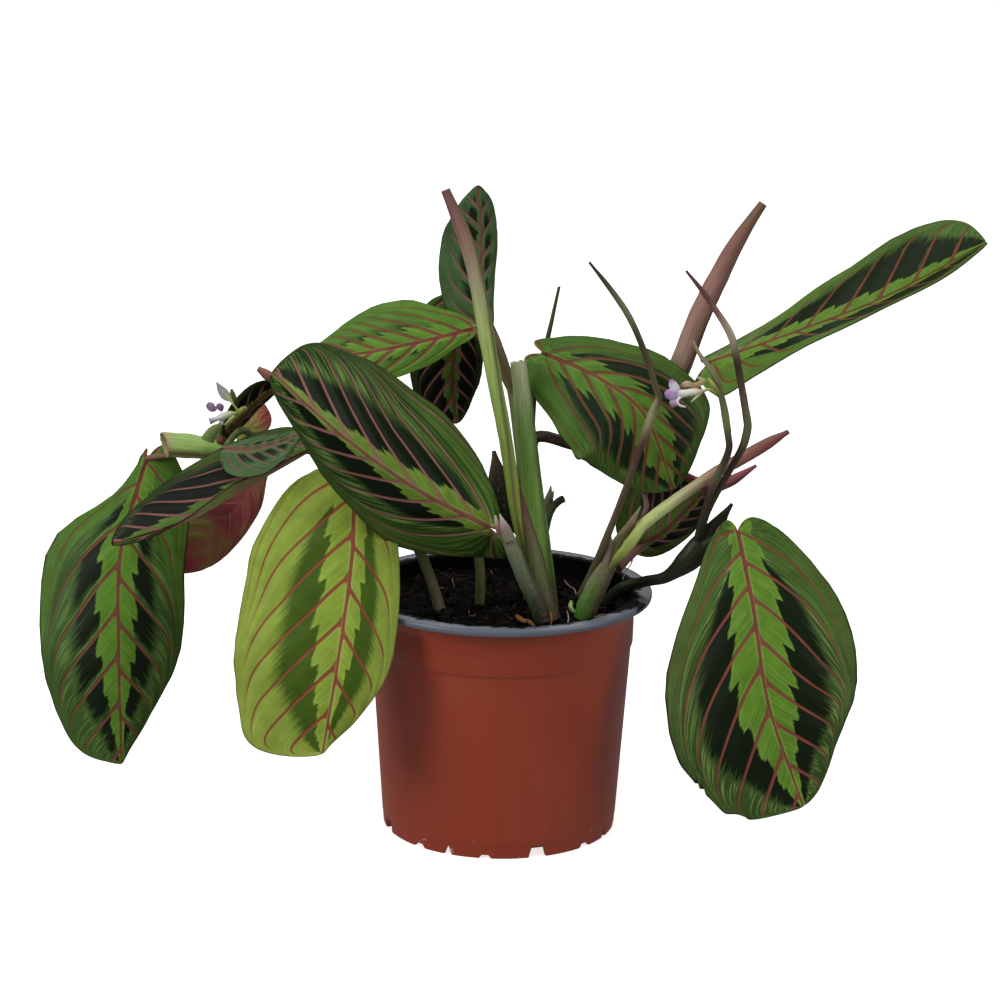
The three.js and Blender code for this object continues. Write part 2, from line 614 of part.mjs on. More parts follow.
// Nursery pot: a thin wall with a flat flanged lip, stepped below it, on a notched foot
function pot() {
  const lipUnderside = POT_HEIGHT - LIP_THICKNESS;
  const neckRadius = COLLAR_RADIUS - COLLAR_FLARE;
  const profile = [
    [0, 0], [CENTRE_FOOT_RADIUS, 0], [CENTRE_FOOT_RADIUS + FOOT_TAPER, FLOOR_UNDERSIDE],
    [BASE_RADIUS - FOOT_WIDTH, FLOOR_UNDERSIDE], [BASE_RADIUS - FOOT_WIDTH, 0], [BASE_RADIUS, 0],
    [BASE_RADIUS + STEP, FOOT_HEIGHT], [SHOULDER_RADIUS, SHOULDER_HEIGHT],
    [SHOULDER_RADIUS + STEP, SHOULDER_HEIGHT + STEP], [neckRadius, COLLAR_BOTTOM],
    [COLLAR_RADIUS, lipUnderside], [RIM_RADIUS, lipUnderside], [RIM_RADIUS, POT_HEIGHT - LIP_EDGE],
    [RIM_RADIUS - LIP_EDGE, POT_HEIGHT], [neckRadius - WALL, POT_HEIGHT],
    [SHOULDER_RADIUS - WALL, SHOULDER_HEIGHT], [BASE_RADIUS - WALL, FOOT_HEIGHT], [0, FOOT_HEIGHT],
  ];
  const outline = profile.map(([radius, height]) => new THREE.Vector2(radius, height));
  const turned = new THREE.LatheGeometry(outline, POT_SIDES);
  turned.rotateX(Math.PI / 2);
  let solid = toSolid(turned);
  for (let quarter = 0; quarter < QUARTERS; quarter += 1) {
    const turn = NOTCH_TURN + (quarter * 360) / QUARTERS;
    for (const [start, width, height] of NOTCHES) {
      const notch = new THREE.BoxGeometry(NOTCH_DEPTH, width, height * 2);
      notch.translate(BASE_RADIUS, 0, 0);
      notch.rotateZ(THREE.MathUtils.degToRad(turn + start));
      solid = solid.subtract(toSolid(notch));
    }
    const drain = new THREE.CylinderGeometry(DRAIN_RADIUS, DRAIN_RADIUS, FOOT_HEIGHT * 2, DRAIN_SIDES);
    drain.rotateX(Math.PI / 2);
    drain.translate(DRAIN_CIRCLE, 0, FOOT_HEIGHT);
    drain.rotateZ(THREE.MathUtils.degToRad(turn));
    solid = solid.subtract(toSolid(drain));
  }
  return solid;
}

// Soil: fills the pot, uneven on top and heaped at the back left
function soil() {
  const draw = seededDraw(SOIL_SEED);
  const lumps = Array.from({ length: LUMPS.count }, () => ({
    x: (draw() * 2 - 1) * LUMPS.reach,
    y: (draw() * 2 - 1) * LUMPS.reach,
    height: draw() * (LUMPS.rise + LUMPS.dip) - LUMPS.dip,
    spread: LUMPS.spread,
  }));
  const bottom = FOOT_HEIGHT + WALL_ROOM;
  const clear = WALL + WALL_ROOM * 2;
  const topRadius = COLLAR_RADIUS - COLLAR_FLARE - clear;
  const outline = [
    new THREE.Vector2(0, bottom), new THREE.Vector2(BASE_RADIUS - clear, bottom),
    new THREE.Vector2(SHOULDER_RADIUS - clear, SHOULDER_HEIGHT),
    new THREE.Vector2(topRadius, SOIL_LEVEL),
  ];
  for (let ring = SOIL_RINGS - 1; ring >= 0; ring -= 1) {
    outline.push(new THREE.Vector2((topRadius * ring) / SOIL_RINGS, SOIL_LEVEL));
  }
  const turned = new THREE.LatheGeometry(outline, SOIL_SECTORS);
  turned.rotateX(Math.PI / 2);
  bent(turned, (point) => {
    const moved = point.clone();
    if (point.z > SHOULDER_HEIGHT) {
      const fade = Math.max(1 - (Math.hypot(point.x, point.y) / topRadius) ** 4, 0);
      for (const { x, y, height, spread } of [HEAP, ...lumps]) {
        const away = Math.hypot(point.x - x, point.y - y) / spread;
        moved.z += height * fade * Math.exp(-(away ** 2) * 2);
      }
    }
    return moved;
  });
  return toSolid(turned);
}

const plant = new THREE.Group();
// The room that each placed piece needs
const rooms = [];

function addMesh(name, look, solid) {
  const { vertProperties, triVerts } = solid.getMesh();
  const geometry = new THREE.BufferGeometry();
  geometry.setAttribute('position', new THREE.BufferAttribute(new Float32Array(vertProperties), 3));
  geometry.setIndex(new THREE.BufferAttribute(new Uint32Array(triVerts), 1));
  geometry.computeVertexNormals();
  const mesh = new THREE.Mesh(geometry, LOOKS[look]);
  mesh.name = name;
  plant.add(mesh);
}

// Adds a piece, cut back by the room that the pieces placed before it need
function place(name, look, shape) {
  let solid = shape.solid;
  for (const earlier of rooms) {
    if (solid.intersect(earlier).volume() > 0) {
      solid = withoutScraps(solid.subtract(earlier)).simplify(TIDY);
    }
  }
  rooms.push(shape.room);
  addMesh(name, look, solid);
}

for (const [name, leaf] of Object.entries(LEAVES)) {
  place(name, leaf.look, { solid: blade(leaf, 0), room: blade(leaf, BLADE_ROOM) });
}
for (const [name, piece] of Object.entries(STEMS)) {
  place(name, piece.look, joined(piece.limbs.map(stemWithRoom)));
}
const filling = soil();
place('soil', 'soil', { solid: filling, room: filling });
addMesh('pot', 'terracotta', pot());

export default plant;
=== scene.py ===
# A prayer plant in its nursery pot: patterned leaves on thin stalks, rolled young leaves and
# flower stalks, standing in potting soil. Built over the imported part, in metres, +Z up.
import math

import bmesh
import bpy
import numpy as np
from mathutils import Euler, Matrix, Vector, noise


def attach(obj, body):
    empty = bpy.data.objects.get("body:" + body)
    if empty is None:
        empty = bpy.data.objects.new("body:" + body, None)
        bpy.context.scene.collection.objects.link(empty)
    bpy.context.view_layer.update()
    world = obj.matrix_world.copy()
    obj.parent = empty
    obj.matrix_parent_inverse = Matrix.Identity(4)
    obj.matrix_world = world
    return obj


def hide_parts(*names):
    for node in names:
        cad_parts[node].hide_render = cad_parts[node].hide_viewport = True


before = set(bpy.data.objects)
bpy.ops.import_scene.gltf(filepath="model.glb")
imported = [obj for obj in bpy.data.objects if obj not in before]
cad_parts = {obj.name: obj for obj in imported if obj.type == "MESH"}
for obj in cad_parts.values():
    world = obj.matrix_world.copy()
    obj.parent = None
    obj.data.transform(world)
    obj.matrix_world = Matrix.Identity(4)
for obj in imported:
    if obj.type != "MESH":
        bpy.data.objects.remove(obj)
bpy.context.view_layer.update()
MM = 0.001

# The camera stands 1.4 m in front of the pot, looks down by 15 degrees and leans a little, as
# the one that took the photograph did
CAMERA_PLACE = Vector((-1.26, -1342.69, 495.97))
CAMERA_PITCH = math.radians(74.91)
CAMERA_LEAN = math.radians(0.825)
FOCAL_LENGTH = 126.2
SENSOR_WIDTH = 36
camera_data = bpy.data.cameras.new("camera")
camera_data.lens = FOCAL_LENGTH
camera_data.sensor_width = SENSOR_WIDTH
camera_data.clip_start = 0.1
camera = bpy.data.objects.new("camera", camera_data)
camera.matrix_world = (
    Matrix.Translation(CAMERA_PLACE * MM)
    @ Euler((CAMERA_PITCH, 0, 0)).to_matrix().to_4x4()
    @ Matrix.Rotation(CAMERA_LEAN, 4, "Z")
)
bpy.context.scene.collection.objects.link(camera)
bpy.context.scene.camera = camera
bpy.context.scene.view_settings.view_transform = "Standard"


# The floor is a wide sheet of white photographer's paper, lit by soft boxes above, at both
# sides and behind, in a bright white room
def linear(hex_colour):
    """An sRGB colour such as #a0b0c0 as linear RGBA."""
    parts = [int(hex_colour[at : at + 2], 16) / 255 for at in (1, 3, 5)]
    return (*[p / 12.92 if p <= 0.04045 else ((p + 0.055) / 1.055) ** 2.4 for p in parts], 1)


def add_node(tree, kind, links=(), stops=(), **settings):
    """Adds a shader node and returns its first output in use. Links are its inputs, in their order
    or by name: a value, a hex colour or another output. Those of MapRange are its value and the
    low and high end of the old and the new range. Stops are the places and colours of a ramp."""
    node = tree.nodes.new(f"ShaderNode{kind}")
    for name, value in settings.items():
        setattr(node, name, value)
    for name, value in links.items() if isinstance(links, dict) else enumerate(links):
        if isinstance(name, str):
            socket = next(s for s in node.inputs if s.enabled and s.name == name)
        else:
            socket = node.inputs[name]
        if isinstance(value, bpy.types.NodeSocket):
            tree.links.new(value, socket)
        else:
            socket.default_value = linear(value) if isinstance(value, str) else value
    for index, (place, colour) in enumerate(stops):
        if index > 1:
            node.color_ramp.elements.new(place)
        node.color_ramp.elements[index].position = place
        node.color_ramp.elements[index].color = linear(colour) if isinstance(colour, str) else colour
    return next(s for s in node.outputs if s.enabled)


def new_finish(name, roughness, specular=0.5):
    """A material, the tree that its pattern is built in, and the inputs of its shader."""
    finish = bpy.data.materials.new(name)
    finish.use_nodes = True
    inputs = finish.node_tree.nodes["Principled BSDF"].inputs
    inputs["Roughness"].default_value = roughness
    inputs["Specular IOR Level"].default_value = specular
    return finish, finish.node_tree, inputs


# The paper is lit to pure white from below as well, as on a light table, but screened so that
# its glow doesn't wash out the plant
PAPER_GLOW = 0.75
PAPER_REACH = 6
paper, _, inputs = new_finish("matt white paper, lit through", 0.9, 0)
inputs["Base Color"].default_value = linear("#f6f6f6")
inputs["Emission Color"].default_value = linear("#ffffff")
inputs["Emission Strength"].default_value = PAPER_GLOW
floor_form = bmesh.new()
bmesh.ops.create_grid(floor_form, x_segments=1, y_segments=1, size=PAPER_REACH)
floor_mesh = bpy.data.meshes.new("floor")
floor_form.to_mesh(floor_mesh)
floor_form.free()
floor_mesh.materials.append(paper)
floor = bpy.data.objects.new("floor", floor_mesh)
bpy.context.scene.collection.objects.link(floor)
floor.visible_diffuse = False
floor.visible_glossy = False

# Place, size and power in watts of each soft box, which faces the middle of the plant
PLANT_MIDDLE = Vector((0, 0, 0.12))
ROOM_LIGHT = 0.22
SOFT_BOXES = {
    "top": ((-0.4, -0.5, 1.9), 1.2, 16),
    "left": ((-1.8, -1.1, 1.0), 0.9, 16),
    "right": ((1.8, -1.0, 0.9), 0.9, 9),
    "back": ((0.2, 1.7, 1.3), 1.2, 6),
}
for box_name, (place, size, power) in SOFT_BOXES.items():
    light_data = bpy.data.lights.new(box_name, "AREA")
    light_data.shape = "SQUARE"
    light_data.size = size
    light_data.energy = power
    light = bpy.data.objects.new(box_name, light_data)
    light.location = place
    toward = PLANT_MIDDLE - Vector(place)
    light.rotation_euler = toward.to_track_quat("-Z", "Y").to_euler()
    bpy.context.scene.collection.objects.link(light)
room = bpy.data.worlds.new("white room")
room.use_nodes = True
room.node_tree.nodes["Background"].inputs["Color"].default_value = linear("#ffffff")
room.node_tree.nodes["Background"].inputs["Strength"].default_value = ROOM_LIGHT
bpy.context.scene.world = room


# The pot is injection moulded from two layers of polypropylene: brick red outside, slate grey
# inside and over the flat flange of its lip. Its foot is notched so that water can run off
POT_HEIGHT = 98
RIM_RADIUS = 60
COLLAR_RADIUS = 55
NECK_RADIUS = 53
NECK_HEIGHT = 90
SHOULDER_RADIUS = 52.1
SHOULDER_HEIGHT = 76.6
MIDDLE_HEIGHT = 45
BASE_RADIUS = 46.7
WALL = 1.1
LIP_UNDERSIDE = 95.4
FOOT_HEIGHT = 5.4
FOOT_TOP_RADIUS = BASE_RADIUS + 0.5
FOOT_WIDTH = 2.2
FLOOR_UNDERSIDE = 3.6
CENTRE_FOOT_RADIUS = 15
FOOT_INSIDE = BASE_RADIUS - FOOT_WIDTH
# Radius of the drain holes, and of the circle that they stand on
DRAIN_RADIUS = 3.5
DRAIN_CIRCLE = 31
# Angle past its quarter's start, width and height of each notch, the angle at which the first
# quarter starts, and the run of the sloped sides
NOTCHES = [(0, 7.5, 4.6), (28, 6, 1.6), (45, 3.6, 3.4), (64, 5, 1.4)]
NOTCH_TURN = -70.4
NOTCH_SLOPE = 1.2
# Degrees from one column of the wall's cells to the next
COLUMN_STEP = 2
# Radii of the rings of cells in the floor, one every millimetre where the drain holes are cut
FLOOR_RINGS = range(22, 43)
# Half profile from the middle of the underside out, up the wall, over the lip and back inside
UNDERSIDE = [
    (0, 0), (CENTRE_FOOT_RADIUS - 0.4, 0), (CENTRE_FOOT_RADIUS, 0.4),
    (CENTRE_FOOT_RADIUS + 0.9, FLOOR_UNDERSIDE - 0.4), (CENTRE_FOOT_RADIUS + 1.4, FLOOR_UNDERSIDE),
    *[(radius, FLOOR_UNDERSIDE) for radius in FLOOR_RINGS],
    (FOOT_INSIDE - 0.5, FLOOR_UNDERSIDE), (FOOT_INSIDE, FLOOR_UNDERSIDE - 0.3),
]
FOOT = [(FOOT_INSIDE, 0.4), (FOOT_INSIDE + 0.4, 0), (BASE_RADIUS - 0.4, 0), (BASE_RADIUS, 0.4)]
WALL_SPREAD = SHOULDER_RADIUS - FOOT_TOP_RADIUS
WALL_RISE = SHOULDER_HEIGHT - FOOT_HEIGHT
WALL_OUTSIDE = [
    (BASE_RADIUS + 0.35, FOOT_HEIGHT - 0.5), (FOOT_TOP_RADIUS, FOOT_HEIGHT),
    *[
        (FOOT_TOP_RADIUS + WALL_SPREAD * share, FOOT_HEIGHT + WALL_RISE * share)
        for share in (0.05, 0.2, 0.4, 0.6, 0.8, 0.98)
    ],
    (SHOULDER_RADIUS, SHOULDER_HEIGHT - 0.3), (SHOULDER_RADIUS + 0.12, SHOULDER_HEIGHT),
    (SHOULDER_RADIUS + 0.5, SHOULDER_HEIGHT + 0.35), (SHOULDER_RADIUS + 0.65, SHOULDER_HEIGHT + 0.9),
    (NECK_RADIUS - 0.1, NECK_HEIGHT - 6.5), (NECK_RADIUS - 0.1, NECK_HEIGHT - 0.6),
    (NECK_RADIUS, NECK_HEIGHT), (NECK_RADIUS + 0.6, NECK_HEIGHT + 0.7),
    (COLLAR_RADIUS - 0.5, LIP_UNDERSIDE - 2),
    (COLLAR_RADIUS, LIP_UNDERSIDE - 0.6), (COLLAR_RADIUS + 0.6, LIP_UNDERSIDE),
    (RIM_RADIUS - 0.7, LIP_UNDERSIDE),
]
LIP = [
    (RIM_RADIUS - 0.15, LIP_UNDERSIDE + 0.2), (RIM_RADIUS, LIP_UNDERSIDE + 0.8),
    (RIM_RADIUS, POT_HEIGHT - 0.9), (RIM_RADIUS - 0.3, POT_HEIGHT - 0.3),
    (RIM_RADIUS - 0.9, POT_HEIGHT), (COLLAR_RADIUS + 1, POT_HEIGHT - 0.1),
    (NECK_RADIUS - WALL + 0.9, POT_HEIGHT - 0.3), (NECK_RADIUS - WALL + 0.2, POT_HEIGHT - 0.9),
]
WALL_INSIDE = [
    (NECK_RADIUS - WALL, NECK_HEIGHT), (SHOULDER_RADIUS - WALL, SHOULDER_HEIGHT),
    (BASE_RADIUS - WALL + 2, MIDDLE_HEIGHT), (BASE_RADIUS - WALL, FOOT_HEIGHT + 0.5),
    (BASE_RADIUS - WALL - 0.5, FOOT_HEIGHT), *[(radius, FOOT_HEIGHT) for radius in reversed(FLOOR_RINGS)],
    (0, FOOT_HEIGHT),
]


def lay_grid(columns, rows):
    """A flat grid of cells, with the row and column of each of its corners."""
    form = bmesh.new()
    bmesh.ops.create_grid(form, x_segments=columns, y_segments=rows, size=0.5)
    places = [(round((v.co.y + 0.5) * rows), round((v.co.x + 0.5) * columns)) for v in form.verts]
    return form, places


def shape_grid(form, places, points, fields=None):
    """Moves the corners of a grid to points[row, column] in millimetres, and keeps the values of
    named fields on them."""
    layers = {name: form.verts.layers.float_vector.new(name) for name in (fields or {})}
    for corner, place in zip(form.verts, places):
        corner.co = Vector(points[place]) * MM
        for name, layer in layers.items():
            corner[layer] = fields[name][place]


# Corners nearer to each other than this, in metres, are joined, and shorter edges than this go
SAME_PLACE = 0.000002
SHORTEST_EDGE = 0.0000001


def close_form(form):
    """Joins the seams of a closed shape and turns its faces outwards."""
    bmesh.ops.remove_doubles(form, verts=form.verts, dist=SAME_PLACE)
    bmesh.ops.dissolve_degenerate(form, edges=form.edges, dist=SHORTEST_EDGE)
    bmesh.ops.recalc_face_normals(form, faces=form.faces)


def add_piece(name, form, finishes, nodes=(), sharp=35):
    """Makes a shape a smooth piece that rides on the part and stands for these nodes of it."""
    mesh = bpy.data.meshes.new(name)
    form.to_mesh(mesh)
    form.free()
    for finish in finishes:
        mesh.materials.append(finish)
    mesh.polygons.foreach_set("use_smooth", [True] * len(mesh.polygons))
    mesh.set_sharp_from_angle(angle=math.radians(sharp))
    piece = bpy.data.objects.new(name, mesh)
    bpy.context.scene.collection.objects.link(piece)
    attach(piece, "root")
    if nodes:
        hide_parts(*nodes)
    return piece


def notch_height(angle):
    """How high the foot is cut away at an angle round the pot, in degrees."""
    height = 0
    for quarter in range(4):
        for start, width, top in NOTCHES:
            away = (angle - NOTCH_TURN - quarter * 90 - start + 180) % 360 - 180
            inside = width / 2 - abs(math.radians(away)) * BASE_RADIUS
            height = max(height, top * min(max(inside / NOTCH_SLOPE, 0), 1))
    return height


angles = set(range(0, 360, COLUMN_STEP))
for quarter in range(4):
    for start, width, _ in NOTCHES:
        for reach in (width / 2, width / 2 - NOTCH_SLOPE):
            turn = math.degrees(reach / BASE_RADIUS)
            angles |= {(NOTCH_TURN + quarter * 90 + start + s * turn) % 360 for s in (-1, 1)}
angles = [*sorted(angles), 360]
pot_profile = UNDERSIDE + FOOT + WALL_OUTSIDE + LIP + WALL_INSIDE
pot_points = np.zeros((len(pot_profile), len(angles), 3))
for column, angle in enumerate(angles):
    cut = notch_height(angle)
    around = (math.cos(math.radians(angle)), math.sin(math.radians(angle)))
    for row, (radius, height) in enumerate(pot_profile):
        if len(UNDERSIDE) <= row < len(UNDERSIDE) + len(FOOT):
            height = max(height, cut + height * 0.5)
        pot_points[row, column] = (radius * around[0], radius * around[1], height)
form, places = lay_grid(len(angles) - 1, len(pot_profile) - 1)
shape_grid(form, places, pot_points)
# Faces from the lip inwards are of the slate layer
for face in form.faces:
    row = min(places[v.index][0] for v in face.verts)
    face.material_index = int(row >= len(UNDERSIDE) + len(FOOT) + len(WALL_OUTSIDE) - 1)
close_form(form)
# Each drain hole is opened in both faces of the floor, made round and lined
for quarter in range(4):
    turn = math.radians(NOTCH_TURN + quarter * 90)
    middle = Vector((math.cos(turn), math.sin(turn), 0)) * DRAIN_CIRCLE * MM
    inside = [
        face for face in form.faces
        if (face.calc_center_median() - middle).xy.length < DRAIN_RADIUS * MM
        and face.calc_center_median().z < (FOOT_HEIGHT + 0.1) * MM
    ]
    bmesh.ops.delete(form, geom=inside, context="FACES")
    edge = [
        e for e in form.edges
        if e.is_boundary and (e.verts[0].co - middle).xy.length < DRAIN_RADIUS * MM * 1.5
    ]
    for corner in {v for e in edge for v in e.verts}:
        away = (corner.co - middle).xy.normalized() * DRAIN_RADIUS * MM
        corner.co.xy = middle.xy + away
    bmesh.ops.bridge_loops(form, edges=edge)
bmesh.ops.recalc_face_normals(form, faces=form.faces)

# Moulded polypropylene has a satin sheen, faint flow marks down the wall, dusty clouds, and
# pale scuffs about the foot where pots rub on one another
red_layer, tree, inputs = new_finish("satin moulded polypropylene, brick red", 0.42, 0.6)
here = add_node(tree, "TexCoord").node.outputs["Object"]
height = add_node(tree, "SeparateXYZ", [here]).node.outputs["Z"]
flow = add_node(tree, "Mapping", {"Vector": here, "Scale": (120, 120, 9)})
marks = add_node(tree, "TexNoise", {"Vector": flow, "Scale": 1, "Detail": 3})
clouds = add_node(tree, "TexNoise", {"Vector": here, "Scale": 28, "Detail": 4})
body = add_node(tree, "Mix", {"Factor": marks, "A": "#a53b20", "B": "#b24626"}, data_type="RGBA")
dust = add_node(tree, "MapRange", [clouds, 0.45, 0.75, 0, 0.16])
worn = add_node(tree, "Mix", {"Factor": dust, "A": body, "B": "#bf6446"}, data_type="RGBA")
# Scuffs are about 3 mm across and get rarer up the wall
grit = add_node(tree, "TexNoise", {"Vector": here, "Scale": 190, "Detail": 5, "Roughness": 0.7})
rubbed = add_node(tree, "MapRange", [height, 0, 0.03, 0.64, 0.76])
scuffs = add_node(tree, "Math", [grit, rubbed], operation="SUBTRACT")
scuffed = add_node(tree, "MapRange", [scuffs, 0, 0.03])
colour = add_node(tree, "Mix", {"Factor": scuffed, "A": worn, "B": "#d9b5a2"}, data_type="RGBA")
tree.links.new(colour, inputs["Base Color"])
gloss = add_node(tree, "MapRange", [clouds, 0.3, 0.7, 0.36, 0.5])
tree.links.new(gloss, inputs["Roughness"])
ripple = add_node(tree, "Bump", {"Height": marks, "Strength": 0.25, "Distance": 0.0003})
tree.links.new(ripple, inputs["Normal"])

# The slate layer is the same plastic, dulled by water marks and soil near the inside, and
# darkened there by painted shade
slate_layer, tree, inputs = new_finish("satin moulded polypropylene, slate grey", 0.38, 0.4)
here = add_node(tree, "TexCoord").node.outputs["Object"]
away = add_node(tree, "VectorMath", [here, (1, 1, 0)], operation="MULTIPLY")
radius = add_node(tree, "VectorMath", [away], operation="LENGTH").node.outputs["Value"]
specks = add_node(tree, "TexNoise", {"Vector": here, "Scale": 160, "Detail": 6, "Roughness": 0.65})
# Near black towards the inside: the soil there, and painted shade in the pot's interior
inner_shade_and_soil = add_node(tree, "MapRange", [radius, 0.052, 0.0585, 0.78, 0.28])
soil_and_shade = add_node(tree, "Math", [inner_shade_and_soil, specks], operation="SUBTRACT")
# A smear of soil lies over the right of the lip
SMEAR_MIDDLE = Vector((53, -25, 98)) * MM
smear = add_node(tree, "VectorMath", [here, SMEAR_MIDDLE], operation="DISTANCE").node.outputs["Value"]
smear = add_node(tree, "MapRange", [smear, 0.003, 0.013, 0.3, 0])
soil_and_shade = add_node(tree, "Math", [soil_and_shade, smear], operation="ADD")
soil_and_shade_mask = add_node(tree, "MapRange", [soil_and_shade, 0, 0.12])
colour = add_node(tree, "Mix", {"Factor": soil_and_shade_mask, "A": "#686e7a", "B": "#0f0e0d"}, data_type="RGBA")
tree.links.new(colour, inputs["Base Color"])
gloss = add_node(tree, "MapRange", [soil_and_shade_mask, 0, 1, 0.34, 0.7])
tree.links.new(gloss, inputs["Roughness"])
shine = add_node(tree, "MapRange", [soil_and_shade_mask, 0, 1, 0.4, 0.05])
tree.links.new(shine, inputs["Specular IOR Level"])
rough = add_node(tree, "Bump", {"Height": specks, "Strength": 0.2, "Distance": 0.0003})
tree.links.new(rough, inputs["Normal"])
add_piece("nursery_pot", form, [red_layer, slate_layer], ["pot"])


# Potting soil is dark moist peat with coarse crumbs, bark chips, brown fibres and a few pale
# roots. It was filled in loosely, so it is lumpy, and heaped at the back left
SOIL_LEVEL = 91
SOIL_ROOM = WALL + 0.6
SOIL_RADIUS = NECK_RADIUS - SOIL_ROOM
SOIL_RINGS = 64
SOIL_SECTORS = 180
# Place, height and spread of the heap and, after it, of the smaller lumps
LUMPS = [(-30, 28, 7, 16)]
SMALL_LUMPS = 9
SMALL_LUMP_SPREAD = 6.7
# Each draw comes from the one before it, times a factor and plus a shift, within a range
DRAW_FACTOR = 1664525
DRAW_SHIFT = 1013904223
DRAW_RANGE = 2**32
soil_state = 7


def soil_draw():
    """A draw between 0 and 1, the same on every run and the same as the part's own lumps use."""
    global soil_state
    soil_state = (soil_state * DRAW_FACTOR + DRAW_SHIFT) % DRAW_RANGE
    return soil_state / DRAW_RANGE


for _ in range(SMALL_LUMPS):
    x, y = ((soil_draw() * 2 - 1) * 40 for _ in range(2))
    LUMPS.append((x, y, soil_draw() * 3 - 1.2, SMALL_LUMP_SPREAD))


def soil_top(x, y):
    """Height of the soil at a place, in millimetres."""
    away = math.hypot(x, y)
    fade = max(1 - (away / SOIL_RADIUS) ** 4, 0)
    height = SOIL_LEVEL
    for lump_x, lump_y, rise, spread in LUMPS:
        height += rise * fade * math.exp(-2 * (math.hypot(x - lump_x, y - lump_y) / spread) ** 2)
    crumbs = noise.fractal(Vector((x, y, 3)) * 0.28, 0.6, 2.1, 5)
    clods = noise.noise(Vector((x, y, 8)) * 0.11)
    return height + (crumbs * 1.1 + clods * 1.2) * min((SOIL_RADIUS - away) / 2 + 0.3, 1)


outline = [
    (0, FOOT_HEIGHT + 0.3), (BASE_RADIUS - SOIL_ROOM, FOOT_HEIGHT + 0.3),
    (SHOULDER_RADIUS - SOIL_ROOM, SHOULDER_HEIGHT),
]
rings = [SOIL_RADIUS * (1 - step / SOIL_RINGS) for step in range(SOIL_RINGS + 1)]
soil_points = np.zeros((len(outline) + len(rings), SOIL_SECTORS + 1, 3))
for sector in range(SOIL_SECTORS + 1):
    turn = sector * math.tau / SOIL_SECTORS
    for row, (radius, height) in enumerate(outline):
        soil_points[row, sector] = (radius * math.cos(turn), radius * math.sin(turn), height)
    for row, radius in enumerate(rings, len(outline)):
        x, y = radius * math.cos(turn % math.tau), radius * math.sin(turn % math.tau)
        soil_points[row, sector] = (x, y, soil_top(x, y))
soil_points[:, -1] = soil_points[:, 0]
form, places = lay_grid(SOIL_SECTORS, len(soil_points) - 1)
shape_grid(form, places, soil_points)
close_form(form)

# Moist peat: nearly black, partly its own colour and partly painted shade under the leaves;
# brown where a crumb has dried, dull but with tiny wet glints
peat, tree, inputs = new_finish("moist potting soil", 0.85, 0.05)
here = add_node(tree, "TexCoord").node.outputs["Object"]
crumbs = add_node(tree, "TexVoronoi", {"Vector": here, "Scale": 420, "Randomness": 1})
grains = add_node(tree, "TexNoise", {"Vector": here, "Scale": 900, "Detail": 4})
patches = add_node(tree, "TexNoise", {"Vector": here, "Scale": 130, "Detail": 5})
colour = add_node(
    tree, "ValToRGB", [patches],
    stops=[(0.3, "#050403"), (0.5, "#0b0806"), (0.62, "#18110d"), (0.75, "#3d2d22")],
)
tree.links.new(colour, inputs["Base Color"])
rough = add_node(tree, "Math", [crumbs, grains], operation="ADD")
bumps = add_node(tree, "Bump", {"Height": rough, "Strength": 0.9, "Distance": 0.0012})
tree.links.new(bumps, inputs["Normal"])
wet = add_node(tree, "MapRange", [patches, 0.3, 0.6, 0.55, 0.95])
tree.links.new(wet, inputs["Roughness"])
add_piece("potting_soil", form, [peat], ["soil"], sharp=60)

# Bark chips and crumbs, one to four millimetres across, pressed into the top
CHIPS = 420
form = bmesh.new()
for _ in range(CHIPS):
    reach, turn = math.sqrt(soil_draw()) * (SOIL_RADIUS - 2), soil_draw() * math.tau
    x, y = reach * math.cos(turn), reach * math.sin(turn)
    size = 0.5 + 1.6 * soil_draw() ** 3
    made = bmesh.ops.create_icosphere(form, subdivisions=1, radius=size * MM)["verts"]
    shrink = Vector((0.7 + soil_draw(), 0.5 + 0.6 * soil_draw(), 0.35 + 0.4 * soil_draw()))
    spin = Euler([soil_draw() * math.tau for _ in range(3)]).to_matrix().to_4x4()
    for corner in made:
        corner.co *= 0.8 + 0.4 * soil_draw()
    bmesh.ops.scale(form, vec=shrink, verts=made)
    place = Vector((x, y, soil_top(x, y) + size * 0.15)) * MM
    bmesh.ops.transform(form, matrix=Matrix.Translation(place) @ spin, verts=made)
chips, tree, inputs = new_finish("damp bark chips and peat crumbs", 0.8, 0.08)
here = add_node(tree, "TexCoord").node.outputs["Object"]
kinds = add_node(tree, "TexNoise", {"Vector": here, "Scale": 260, "Detail": 2})
# Painted shade: like the peat's, these colours are darkened for the shade under the leaves
colour = add_node(
    tree, "ValToRGB", [kinds],
    stops=[(0.35, "#070504"), (0.52, "#120d09"), (0.64, "#2c1e15"), (0.78, "#6e543d")],
)
tree.links.new(colour, inputs["Base Color"])
fibres = add_node(tree, "TexNoise", {"Vector": here, "Scale": 1400, "Detail": 3})
bumps = add_node(tree, "Bump", {"Height": fibres, "Strength": 0.6, "Distance": 0.0004})
tree.links.new(bumps, inputs["Normal"])
add_piece("bark_chips", form, [chips], sharp=20)


# A prayer plant's leaf blade is thin and satin, with a lime band along its midrib, dark patches
# between its side veins, and red veins that curve to the margin. It grows on a bent midrib
BLADE_THICKNESS = 0.55
# How far towards the tip the rows of cells lean at the margin, and how far the veins bend there,
# as shares of the length
ROW_LEAN = 0.62
VEIN_BEND = 0.6
# Rows of cells below and above the place where the stalk joins, and columns on each side
LOBE_ROWS = 14
BLADE_ROWS = 66
SIDE_COLUMNS = 26
# How many veins' worth of angle the fan over each basal lobe spans
LOBE_VEINS = 3
# Waves along the margin, and how far the second side's veins leave the midrib past the first's
RIPPLES = 6
VEIN_SHIFT = 0.3
# A leaf has these unless it says otherwise
PLAIN_LEAF = {
    "sweep": 1.2, "fold": [[0, 0, 0], [0, 0, 0]], "curl": [-20, -20], "blunt": [0, 0], "torn": [],
}


